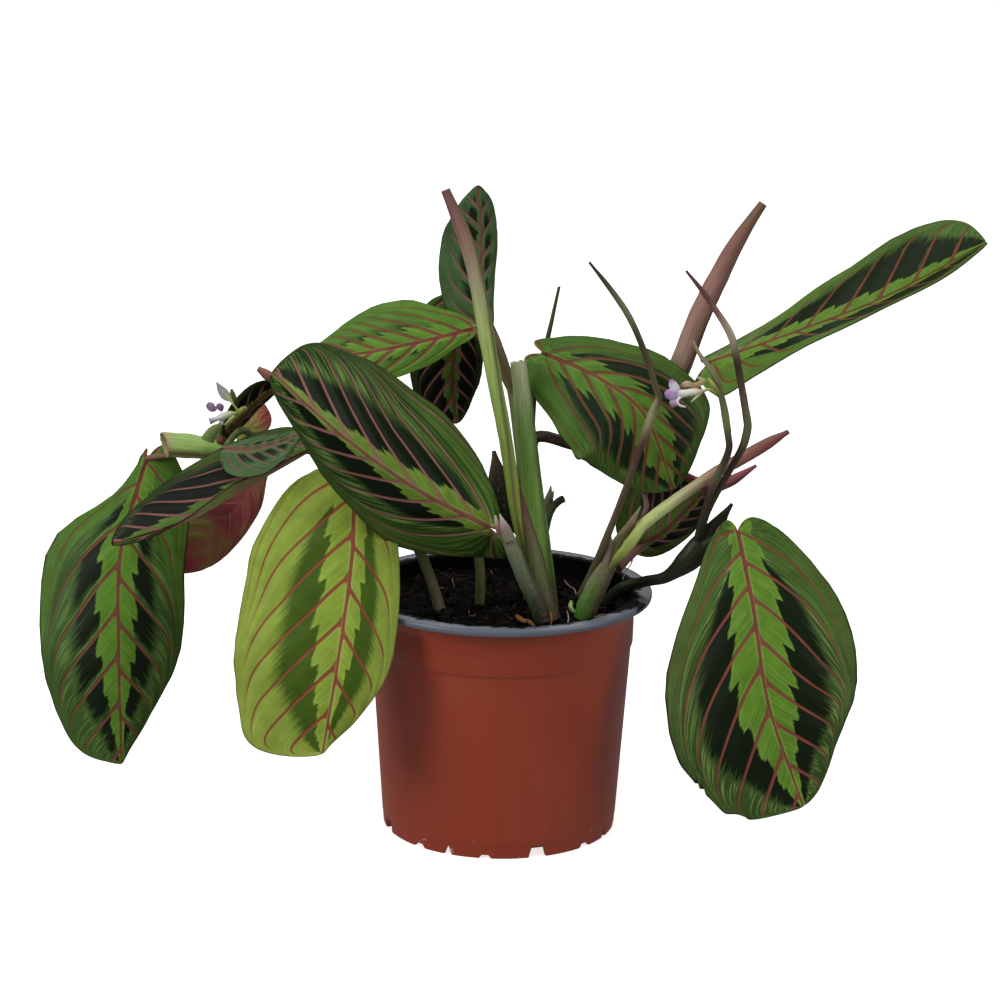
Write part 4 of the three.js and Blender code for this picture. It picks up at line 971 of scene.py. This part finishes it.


# The colours of many limbs darken where they stand in shade, low in the pot and behind the leaves. That
# darkening is painted shade, as at the feet of stalk_3 and shoot_small, all along stem_dark, and in the
# dark sheath of stem_back
STALKS = {
    "rolled_leaf_1": ("rolled_leaf", [
        limb(
            [[17.5, -21, 91.7], [11.7, -20.5, 111.2], [7.1, -19.5, 127.2], [4.4, -18, 138.9],
            [2.5, -16.5, 150.6], [-0.2, -14.5, 166.2], [-3.9, -12, 184], [-8, -8.5, 204.6],
            [-11.4, -5.5, 221.8], [-16.1, -2, 238.8], [-24.2, 2, 257.7]],
            [3.4, 3.2, 2.9, 2.8, 2.8, 2.9, 3.1, 3.2, 3, 2.9, 1.9],
            "#56663a #667a36 #738634 #7b8c36 #7f9440 #8ba452 #93a85c #9aa66a #90866a #7e5e50 #6e4a44",
            seam=(0.9, 0.8, "#5c5c36"),
        ),
        limb(
            [[18.7, -22.5, 91.8], [14.9, -23, 105.8], [12.4, -22.5, 117.9], [10, -21.5, 128.6],
            [8.2, -20, 137.1], [6.6, -18.5, 143.9]],
            [4.6, 4.4, 3.9, 2.9, 1.5, 0.3], "#4c4634 #56583a #5c663c #5e5a3a #5a3c34 #4e2c2c",
            seam=(2.9, 0.1, "#4e3230"),
        ),
    ]),
    "cut_stalk": ("green_stem", [
        limb(
            [[20, -8, 81], [13, -6, 128], [8.7, -4, 160], [7, -3, 176], [5.4, -2, 190.4]],
            [4, 4.6, 4.4, 4.2, 3.5],
            "#55682f #5f7c38 #6a8c40 #709244 #709244 #6c8e42 #668640 #6f8a4c #8f9c70 #a5ab88",
            seam=(2.2, 0.3, "#4c6430"), mouth=0.02, ragged=2.2,
        ),
    ]),
    "stalk_3": ("green_stem", [
        limb(
            [[16.3, -29.5, 93.1], [13, -29.5, 101.6], [9.4, -29, 108.8], [6.1, -28.5, 116.7],
            [3.3, -28, 123.4], [0.7, -27, 129.6]],
            [3.6, 3.5, 3.4, 3.3, 3.2, 2.2], "#23271c #2c3224 #3f4632 #4e563e #59624a #676852 #7a6c62",
            seam=(2, 0.5, "#40342c"),
        ),
        limb(
            [[2.9, -30.5, 125.7], [0.8, -29.5, 130.7], [-1.3, -27.5, 135.7]],
            [2.4, 1.9, 0.3], "#676a54 #7a6c64 #a89c92", flat=0.5,
        ),
        limb(
            [[-0.7, -29, 127.3], [-2.1, -28.5, 131.1], [-3, -27, 135]],
            [1.2, 1.1, 0.3], "#6a4a46 #80605a #b0a49a", flat=0.5,
        ),
    ]),
    "stem_left": ("green_stem", [
        limb(
            [[-22, -8, 82], [-29, -8, 105], [-36, -7, 120], [-51, -4, 139], [-67, 2, 150],
            [-81, 6, 152], [-96, 8, 151], [-112, 9, 149], [-128, 12, 148], [-143, 15, 145]],
            [2.6, 2.2, 2.1, 2, 1.8, 1.8, 1.6, 1.6, 1.5, 1.2],
            "#8d8672 #5c6440 #4d5a34 #4d5a34 #5a5a3a #6a4a40",
        ),
        limb(
            [[-104, 9, 149], [-112, 9, 150.4], [-124, 9, 151.6], [-135, 10, 152]],
            [2.4, 4.2, 5.2, 5.2], "#5f7a3c #6a8a40 #7c9a50 #84a258 #84a258 #968a62",
            seam=(1.2, 0, "#6a5a3c"), mouth=0.5, slant=-2.6, ragged=0.8,
        ),
        limb([[-64, 1, 149], [-70, -5, 154], [-74, -12, 157]], [1.6, 1.5, 1.3], "#5a5a3a #6a3f3a"),
        limb([[-88, 7, 151], [-93, 12, 148], [-97, 18, 143]], [1.6, 1.4, 1.2], "#5a5a3a #6a4a3a"),
        limb(
            [[-98, 8, 151], [-101, 0, 160], [-104, -11, 163], [-108, -21, 160]],
            [1.5, 1.5, 1.4, 1.2], "#5a5a3a #5c6a3c #5c7040",
        ),
        limb([[-106, 9, 150], [-109, 5, 155], [-110, 0, 159]], [1.5, 1.4, 1.2], "#4a4a30 #3a3528"),
        limb(
            [[-104, 7, 151], [-112, -2, 158], [-112, -4, 163], [-110, -5, 167]],
            [1.4, 1.6, 1.6, 0.8], "#5c6a3c #6f8a44 #7a9a4a",
        ),
    ]),
    "stalk_2": ("green_stem", [
        limb(
            [[-9, 0, 82], [-9, -2, 108], [-14, -4, 128], [-24, -7, 140], [-38, -12, 147],
            [-50, -18, 151], [-57, -24, 151]],
            [2, 2, 1.8, 1.7, 1.6, 1.5, 1.3], "#6a6f48 #76824c #8c9450",
        ),
    ]),
    "stem_back": ("green_stem", [
        limb(
            [[12, 8, 82], [9, 12, 131], [6, 17, 154], [2.4, 21, 175], [-2, 25, 187], [-5, 27.4, 196]],
            [3, 2.8, 2.6, 2.2, 1.8, 1.6], "#4c5a34 #566238 #5e5438",
        ),
        limb([[3, 20, 173], [-6, 20, 190], [-13, 18, 199]], [1.5, 1.4, 1.2], "#5e5438 #7a5a3e"),
        limb(
            [[3, 22, 176], [-4, 33, 193], [-10, 36, 203], [-15, 35, 209]],
            [1.5, 1.4, 1.4, 1.2], "#5e5438 #5a3a36",
        ),
        limb(
            [[9, 12, 116], [4, 9, 124], [-1, 8, 136], [-4, 8, 152]],
            [2.5, 4.6, 4.4, 0.8], "#2c3020 #20241a #2c2820 #4a3c2c", flat=0.35,
        ),
    ]),
    "stem_behind": ("dark_stem", [
        limb(
            [[11, 20, 82], [9, 22, 128], [11, 23, 150], [15, 21, 155], [28, 19, 152], [52, 18, 145],
            [73, 13, 142]],
            [2.4, 2.2, 2.2, 2.4, 2.2, 1.8, 1.6], "#4a4632 #40352a #44332a #54382f",
        ),
        limb([[10, 22, 146], [10, 17, 175], [16, 11, 190]], [1.6, 1.6, 1.4], "#40352a #5a5034"),
        limb(
            [[64, 15, 143], [71, 13, 165], [77, 12, 181], [82, 12, 188]],
            [1.6, 1.5, 1.5, 1.4], "#54382f #6a4a3c",
        ),
        limb(
            [[11, 22, 150], [12, 23, 174], [17, 22, 196], [21, 22, 216]],
            [1.3, 1.2, 1, 0.6], "#40352a #4c4a34 #565238",
        ),
    ]),
    "rolled_leaf_3": ("rolled_leaf", [
        limb(
            [[56, 20, 147], [64, 19, 170], [71, 19, 189], [77, 20, 206], [84, 22, 221], [92, 24, 236],
            [101, 25, 250]],
            [2, 4, 4.7, 4.5, 4.2, 3.4, 1.9], "#8c8c5e #918c66 #94806c #8c6c62 #86625a #7c5a4e #6c5440",
            seam=(1.6, 0.7, "#5c3a36"),
        ),
    ]),
    "rolled_leaf_4": ("green_stem", [
        limb(
            [[32.6, -18, 91.9], [37.4, -18.5, 104.4], [41.9, -18, 114.2], [46.5, -17.5, 121.1],
            [53.1, -16.5, 127.4], [59.6, -16, 132.9], [67.3, -16, 139.1], [75, -16, 144.9],
            [81.9, -16, 150], [90.4, -15.5, 154.7], [100, -15, 160.5], [111.1, -14, 167.1]],
            [3.4, 3.6, 3.2, 2.8, 2.6, 2.5, 2.4, 2.3, 2.5, 2.7, 2.5, 1],
            "#4f7a2c #6a8c34 #90a43c #a3b04c #b4c272 #b7c47c #b4be7e "
            "#ada882 #a08a6e #8c6458 #84544f #774844 #6e4440", seam=(2.6, 0.4, "#8c7a52"),
        ),
        limb(
            [[32.1, -19.5, 91.5], [34, -20, 97.9], [37, -20.5, 105.4], [40, -20, 111.9],
            [42.6, -19, 116.9], [46, -18.5, 123.4], [50.2, -18, 129.8], [53.9, -17, 136.7]],
            [4.1, 4.5, 4.6, 4.3, 3.4, 2.3, 1.6, 0.3],
            "#42702a #4e6c32 #566438 #5c5c3c #6a6a42 #74704a #7c6a52 #8c7868",
            seam=(2.3, 0.15, "#54403c"), flat=0.8,
        ),
        limb(
            [[42, -23, 113], [44.6, -24, 117], [47.6, -24.2, 120.6], [50.8, -23, 124.6],
            [54, -20, 128.6], [58, -17.5, 132]],
            [0.5, 1.7, 2.1, 2.2, 2, 1], "#646e34 #74803a #828e44 #909c54 #a0ad66 #b0bb78", flat=0.55,
        ),
        limb(
            [[40, -22, 110], [41.4, -21.5, 117.6], [42.3, -21, 123.2], [41.9, -20, 127]],
            [1.6, 1.8, 1.1, 0.25], "#66584a #7a6862 #8c7a76", flat=0.5,
        ),
        limb(
            [[27.5, -19, 98.5], [27.1, -20, 96.5], [28.1, -20, 94.5], [29.6, -19.5, 93.3]],
            [0.5, 0.9, 0.8, 0.4], "#7f9a5a #a9be7c #b4c48c", flat=0.6,
        ),
        limb(
            [[45.7, -13, 110.3], [52.2, -5, 114.7], [57.3, 4, 114.7]],
            [1.9, 1.8, 1.4], "#5a4038 #6a4640 #4a5a34",
        ),
        limb(
            [[54.2, -15.5, 130.8], [56.3, -13, 135.1], [55.7, -11, 139], [54.1, -9, 141.7],
            [50.6, -6, 145.7]],
            [0.8, 1.1, 1, 0.7, 0.25], "#4a2c34 #5c4044 #54403e #5c4c46 #4a3c38", flat=0.5,
        ),
    ]),
    "bract_5": ("rolled_leaf", [
        limb(
            [[72, 13, 142], [82, 6, 139], [90, 4, 142], [100, 2, 149]],
            [1.6, 2.2, 2.2, 0.7], "#8a4a50 #94505a #8a4a50", seam=(1, 0.5, "#5c3034"),
        ),
    ]),
    "stem_dark": ("dark_stem", [
        limb(
            [[38, 5, 84], [46, 0, 97], [56, -5, 102.4], [65, -8, 105.5], [74, -11, 114], [83, -11, 126],
            [90, -12, 137]],
            [2.2, 2.2, 2.2, 2.6, 5, 3.6, 0.7], "#24301f #263322 #2a3524 #303a26 #2c3022 #3a3028",
            flat=0.7,
        ),
        limb([[76, -11, 117], [84, -15, 124], [91, -19, 128]], [2, 1.8, 1.5], "#2c3a26 #36462c"),
    ]),
    "flower_stalk_1": ("dark_stem", [
        limb(
            [[30.4, -20, 100.7], [33, -20.5, 106.2], [37.1, -21, 115.4], [42.9, -24, 132.2],
            [48.3, -27, 148.8], [53.6, -29, 166.6], [57.5, -30, 178.8], [59.3, -30, 183.6],
            [58.1, -30, 187.5], [54.8, -29, 197.5], [50.3, -28, 208.6], [45.6, -27, 217.3],
            [38.9, -26, 226.4], [31.5, -24, 235.2]],
            [1.2, 1.4, 1.5, 1.4, 1.35, 1.35, 1.45, 1.8, 1.35, 1.25, 1.2, 1.25, 1, 0.5],
            "#4a4432 #504836 #5a5238 #66583e #66533c #604a3c #604a40 "
            "#9c9870 #6a6240 #564a38 #4c4632 #7c7a58 #4c4a32 #46342c",
        ),
    ]),
    "flower_stalk_2": ("dark_stem", [
        limb(
            [[78.5, -13, 124], [79, -15, 131.1], [81.9, -20, 140.6], [87.9, -24, 153.8],
            [92.5, -27, 164.3], [94, -27, 171.5], [93.8, -27, 174.3], [91.9, -26, 184.3],
            [88.8, -25, 199.4], [86.2, -24, 208.2], [79.5, -23, 218.5], [74.3, -23, 225.5],
            [68.8, -22, 231.9]],
            [1.5, 1.5, 1.4, 1.35, 1.4, 1.65, 1.5, 1.4, 1.35, 1.5, 1.2, 1, 0.5],
            "#383a26 #3e3e2a #4c4432 #544836 #54463a #6a6c4a #665e48 "
            "#524638 #4c4234 #b4a88e #8a6458 #6a4a40 #583e38",
        ),
    ]),
    "flower_stalk_3": ("dark_stem", [
        limb(
            [[76.6, -13, 122.3], [78.5, -16, 132.1], [81.5, -24, 146.9], [85.6, -28, 158.4],
            [86.9, -30, 164.2], [86.5, -30.5, 168.3], [84.4, -31, 180.2], [82.6, -29, 186.9],
            [81.5, -29, 190], [78.3, -28, 195.6], [74.8, -27, 200.1], [72, -26, 205.3]],
            [1.5, 1.5, 1.35, 1.4, 1.6, 1.45, 1.35, 1.5, 1.3, 1.1, 0.9, 0.5],
            "#343626 #3e3a2c #4e4234 #54443a #68684a #504638 "
            "#544a3a #7c8052 #585a3a #7c7858 #9a8c70 #a8967a",
        ),
    ]),
    "shoot_small": ("dark_stem", [
        limb(
            [[15.2, 3, 100.2], [16, 4, 114.5], [17.6, 4, 124.1], [19.5, 4, 129.5], [22, 3.5, 132.7],
            [24.2, 3, 134.1]],
            [1.7, 2, 2, 1.7, 1.5, 1.5], "#2c3020 #383c26 #444a2e #4a5034 #505638 #4c3c30", mouth=0.05,
            ragged=1,
        ),
        limb(
            [[17.1, 5, 121.3], [17.5, 5, 127.9], [18.2, 5, 132.9], [18.9, 5, 138.7]],
            [1.5, 1.9, 1.8, 0.3], "#40462c #545a3c #7c8064 #9a9880", flat=0.5,
        ),
        limb(
            [[18.3, 4.5, 132.2], [19.4, 4.5, 134.7], [20, 4.5, 137]],
            [1, 0.8, 0.2], "#545a3c #6a6a50 #7c7c64", flat=0.5,
        ),
    ]),
    "bud_left": ("rolled_leaf", [
        limb(
            [[-88, 5, 180], [-91.6, 1, 182], [-94.6, 0.4, 184.2], [-97, 0, 186]],
            [0.9, 1.8, 2, 1.1], "#6a4438 #8a5c4c",
        ),
    ]),
}


def new_stalk_finish(name, roughness, rib_depth, fleck, light=1):
    """The skin of a stalk: its own colour along it, ribs about 0.5 mm apart, and small flecks."""
    finish, tree, inputs = new_finish(name, roughness, 0.3)
    tint = add_node(tree, "Attribute", attribute_name="tint").node.outputs["Color"]
    grain = add_node(tree, "Attribute", attribute_name="grain").node.outputs["Vector"]
    ribs = add_node(tree, "Mapping", {"Vector": grain, "Scale": (0.06, 1.6, 1)})
    ribs = add_node(tree, "TexNoise", {"Vector": ribs, "Scale": 1, "Detail": 3, "Roughness": 0.6})
    flecks = add_node(tree, "Mapping", {"Vector": grain, "Scale": (0.7, 1.4, 1)})
    flecks = add_node(tree, "TexNoise", {"Vector": flecks, "Scale": 1, "Detail": 3})
    shade = add_node(tree, "MapRange", [ribs, 0.3, 0.7, 0.72 * light, 1.25 * light])
    skin = add_node(tree, "VectorMath", {0: tint, "Scale": shade}, operation="SCALE")
    flecked = add_node(tree, "MapRange", [flecks, 0.6, 0.72, 0, 0.55])
    skin = add_node(tree, "Mix", {"Factor": flecked, "A": skin, "B": fleck}, data_type="RGBA")
    tree.links.new(skin, inputs["Base Color"])
    bump = add_node(tree, "Bump", {"Height": ribs, "Strength": rib_depth, "Distance": 0.0004})
    tree.links.new(bump, inputs["Normal"])
    return finish


STALK_SKINS = {
    "green_stem": new_stalk_finish("living stalk, ribbed green skin", 0.45, 0.5, "#a0a060", 1.5),
    "dark_stem": new_stalk_finish("living stalk, dark waxy skin", 0.38, 0.4, "#6a5a44"),
    "rolled_leaf": new_stalk_finish("rolled young leaf, satin skin", 0.5, 0.6, "#9a6a5c", 1.35),
}


def join_limbs(limbs):
    """All limbs of one piece as closed forms."""
    whole = bmesh.new()
    for points, fields in limbs:
        form, places = lay_grid(points.shape[1] - 1, points.shape[0] - 1)
        shape_grid(form, places, points, fields)
        close_form(form)
        limb_mesh = bpy.data.meshes.new("limb")
        form.to_mesh(limb_mesh)
        form.free()
        whole.from_mesh(limb_mesh)
        bpy.data.meshes.remove(limb_mesh)
    return whole


for name, (slot, limbs) in STALKS.items():
    add_piece(f"{name}_stalk", join_limbs(limbs), [STALK_SKINS[slot]], [name], sharp=50)


# The flowers are small and soft: a thin white tube out of pale green sepals, and white and lilac
# petals, some of them withered. Each grows at the end of a thin stalk
FLOWERS = {
    "flower_left": [
        limb(
            [[-109, 0, 160], [-108, -8, 165], [-101.3, -15, 173.1], [-103.7, -19, 172.6]],
            [0.9, 0.9, 1, 1.2], "#4c4a2c #6a6a38 #84863e #a0a450",
        ),
        limb(
            [[-103.9, -19.5, 172.5], [-105.6, -20, 172.4], [-108.5, -20.5, 171.9], [-111.9, -21, 170.6],
            [-114.5, -21.5, 169.6]],
            [0.6, 1.3, 1.5, 1.05, 1.3], "#a9b45c #ccd4a4 #e8eadc #e4e0e4 #b8a4b8", mouth=0.12,
        ),
        limb([[-109.8, -20.5, 171], [-109.4, -20.5, 168.4]], [0.9, 0.7], "#e0dfe0 #cfc8d0"),
        limb(
            [[-104.6, -21, 171.8], [-106.7, -21.5, 170.2], [-108.6, -22, 168.4]],
            [0.7, 0.5, 0.2], "#a4b058 #b8c07c #c4c898",
        ),
        limb(
            [[-103.5, -19.5, 173.7], [-105.1, -19, 175.7], [-106.4, -18.5, 177.4], [-108.2, -18, 179],
            [-110, -18, 181.4], [-111.1, -18, 183.1], [-111.9, -18, 184.6]],
            [0.4, 0.35, 0.7, 1.8, 1.9, 1.2, 0.2],
            "#a0ac58 #a9b468 #b4bf88 #bcc4a0 #c0c0b8 #b4acb8 #a89cb0", flat=0.3,
        ),
        limb(
            [[-111.8, -20, 174.7], [-113, -20, 174.5], [-114.3, -20, 175.4], [-115.6, -20, 176.1]],
            [0.8, 1.6, 1.7, 1], "#a68eac #a084a4 #a487a6 #8c6c90", flat=0.4,
        ),
        limb(
            [[-111.8, -20, 174.7], [-110.6, -20, 175.3], [-109.7, -20, 173.4]],
            [0.7, 1.5, 0.6], "#9a7e9e #8a6a90 #7c5c84", flat=0.4,
        ),
        limb(
            [[-115.6, -17, 160.7], [-115.1, -17, 162.3], [-113.3, -17, 164.9], [-110, -16, 167.5]],
            [2.6, 2.3, 1.7, 0.6], "#6f8c44 #7a9650 #86a058 #8fa868", flat=0.4,
        ),
        limb(
            [[-109.1, -18, 160.2], [-111, -18.5, 161.7], [-112.6, -18, 162.8]],
            [1.4, 1.7, 0.7], "#6a4234 #84503e #6a5a38", flat=0.5,
        ),
        limb(
            [[-105.5, -14, 175.7], [-106, -14, 178.5], [-106.4, -14, 180.9]],
            [1.4, 1.3, 0.5], "#4c5c28 #5c6e34 #647838", flat=0.4,
        ),
    ],
    "flower_right": [
        limb(
            [[82.4, -29, 185.5], [80.8, -30, 186.1], [78.4, -31, 187.4], [75.5, -31.5, 186.8]],
            [0.6, 0.6, 0.6, 0.7], "#8a9044 #a0a650 #b0b060 #c8c490",
        ),
        limb(
            [[76.1, -31.5, 186.9], [74.5, -32, 186.8], [71.1, -32, 186.5], [68, -32, 185.9],
            [66.1, -32, 185.7]],
            [0.7, 1.3, 1.45, 1.6, 2], "#c4b498 #e0d8c4 #f0f0ea #f2f0ec #e4dcec",
        ),
        limb(
            [[66.8, -32.5, 186.5], [65.4, -33, 188.1], [64.3, -33, 189.9], [63.5, -33, 191.6]],
            [1, 1.7, 1.7, 0.8], "#ece8ee #f2f0f2 #e6d6e8 #b07ab4", flat=0.45,
        ),
        limb(
            [[66.5, -33, 185.7], [64.7, -34, 185.9], [63, -34, 185.9], [61.4, -34, 185.5]],
            [1.2, 2, 2.2, 1.2], "#dccce4 #ccb0dc #c09acc #b07cbc", flat=0.45,
        ),
        limb(
            [[65.9, -33, 184.4], [65.3, -34, 183.4], [64.8, -34, 182.3], [64.4, -33.5, 180.9]],
            [1.2, 1.7, 1.7, 0.7], "#ccb4d4 #c8a8c4 #c49cb4 #b488a0", flat=0.45,
        ),
        limb(
            [[67.6, -33, 184.8], [66.7, -34, 184.3], [66.3, -34.5, 183.2], [67.2, -34.5, 181.9],
            [69.3, -34, 181.1]],
            [0.5, 0.5, 0.45, 0.45, 0.35], "#f0eef0 #ecebe6",
        ),
        limb(
            [[75.3, -32, 186.5], [73.8, -32.5, 185], [71.5, -33, 182.8]],
            [0.7, 0.5, 0.2], "#c8c898 #d4d6a8 #cfd0a0",
        ),
        limb(
            [[77, -30, 190.8], [75.3, -30.5, 189.9], [72.6, -31, 188.8], [69.5, -31.5, 189.2],
            [67.2, -31.5, 188.2]],
            [0.9, 1.1, 1.3, 1.6, 0.7], "#a8a468 #b49a68 #b08c66 #c8b296 #8c6048", flat=0.6,
        ),
        # A thin brown strip under the withered petals, painted shade beneath them
        limb(
            [[72.2, -31.5, 188.1], [69.9, -32, 188.1], [67.6, -32, 187.6]],
            [0.6, 0.9, 0.5], "#a07a54 #6a4630 #7c5238", flat=0.6,
        ),
        limb(
            [[77.2, -30, 190.4], [75.3, -30, 191.3], [73.5, -30, 192]],
            [0.7, 0.8, 0.4], "#a8b068 #a8b888 #b4c4a8", flat=0.6,
        ),
        limb(
            [[77.9, -30, 191.8], [79.8, -30.5, 189.5], [82.1, -30, 186.1]],
            [0.3, 0.9, 0.7], "#b4b868 #a4aa54 #8c9448", flat=0.6,
        ),
    ],
}
petal_skin = new_stalk_finish("fresh petals, soft and slightly translucent", 0.6, 0.3, "#d8c8e4")
for name, limbs in FLOWERS.items():
    add_piece(f"{name}_petals", join_limbs(limbs), [petal_skin], [name], sharp=60)


# The litter is what potting soil holds besides peat and bark: a twig, a few pale roots and thin
# fibres, dry and stiff. It lies loose on the top
LITTER = [
    limb([[5.9, -26.3, 94], [7.6, -32.5, 94.5], [9.9, -35.7, 94.5]], [0.7, 1, 0.7], "#6a4428 #84562f"),
    limb([[9.6, -31.5, 94], [11.5, -37, 94.5], [13.4, -41.9, 94]], [0.5, 0.8, 0.4], "#8a5a30 #5c3a20"),
    limb([[19.1, -30.1, 97], [19.5, -34.8, 96], [19.3, -37.6, 94]], [0.3, 0.4, 0.3], "#8a5a34 #6a4024"),
    limb(
        [[25.4, 24.7, 94], [26.7, 15.9, 94.5], [29, 10.4, 94.5], [29.8, 5.1, 94]],
        [0.25, 0.3, 0.25, 0.2], "#a88a84 #c0a8a0",
    ),
    limb(
        [[25.7, -21.9, 95], [26.2, -29.9, 95], [25.9, -36, 94]],
        [0.25, 0.25, 0.25], "#8a7a74 #a09488",
    ),
    limb([[36.3, -27.5, 94], [38.2, -28, 95], [41.1, -22.5, 94]], [0.5, 0.6, 0.3], "#6a4634 #8a6450"),
    limb(
        [[51.7, -8, 113.5], [51, -8, 110.6], [49, -9, 108], [47.7, -10, 104.6]],
        [0.35, 0.25, 0.2, 0.2], "#9a8c80 #b8aca0",
    ),
]
FIBRES = 60
for _ in range(FIBRES):
    reach, turn = math.sqrt(soil_draw()) * (SOIL_RADIUS - 6), soil_draw() * math.tau
    bow = soil_draw() * math.tau
    start = Vector((reach * math.cos(turn), reach * math.sin(turn)))
    step = Vector((math.cos(bow), math.sin(bow))) * (1 + 2 * soil_draw())
    strand = [start, start + step, start + step * 2 + step.orthogonal() * (soil_draw() - 0.5)]
    tints = "#2c1e16 #4c3828" if soil_draw() < 0.8 else "#8c8074 #a89c8c"
    points = [[spot.x, spot.y, soil_top(*spot) + 0.4] for spot in strand]
    LITTER.append(limb(points, [0.1, 0.16, 0.08], tints))
fibre_skin = new_stalk_finish("dry plant fibres and roots", 0.8, 0.3, "#2c2018")
add_piece("soil_litter", join_limbs(LITTER), [fibre_skin], sharp=60)
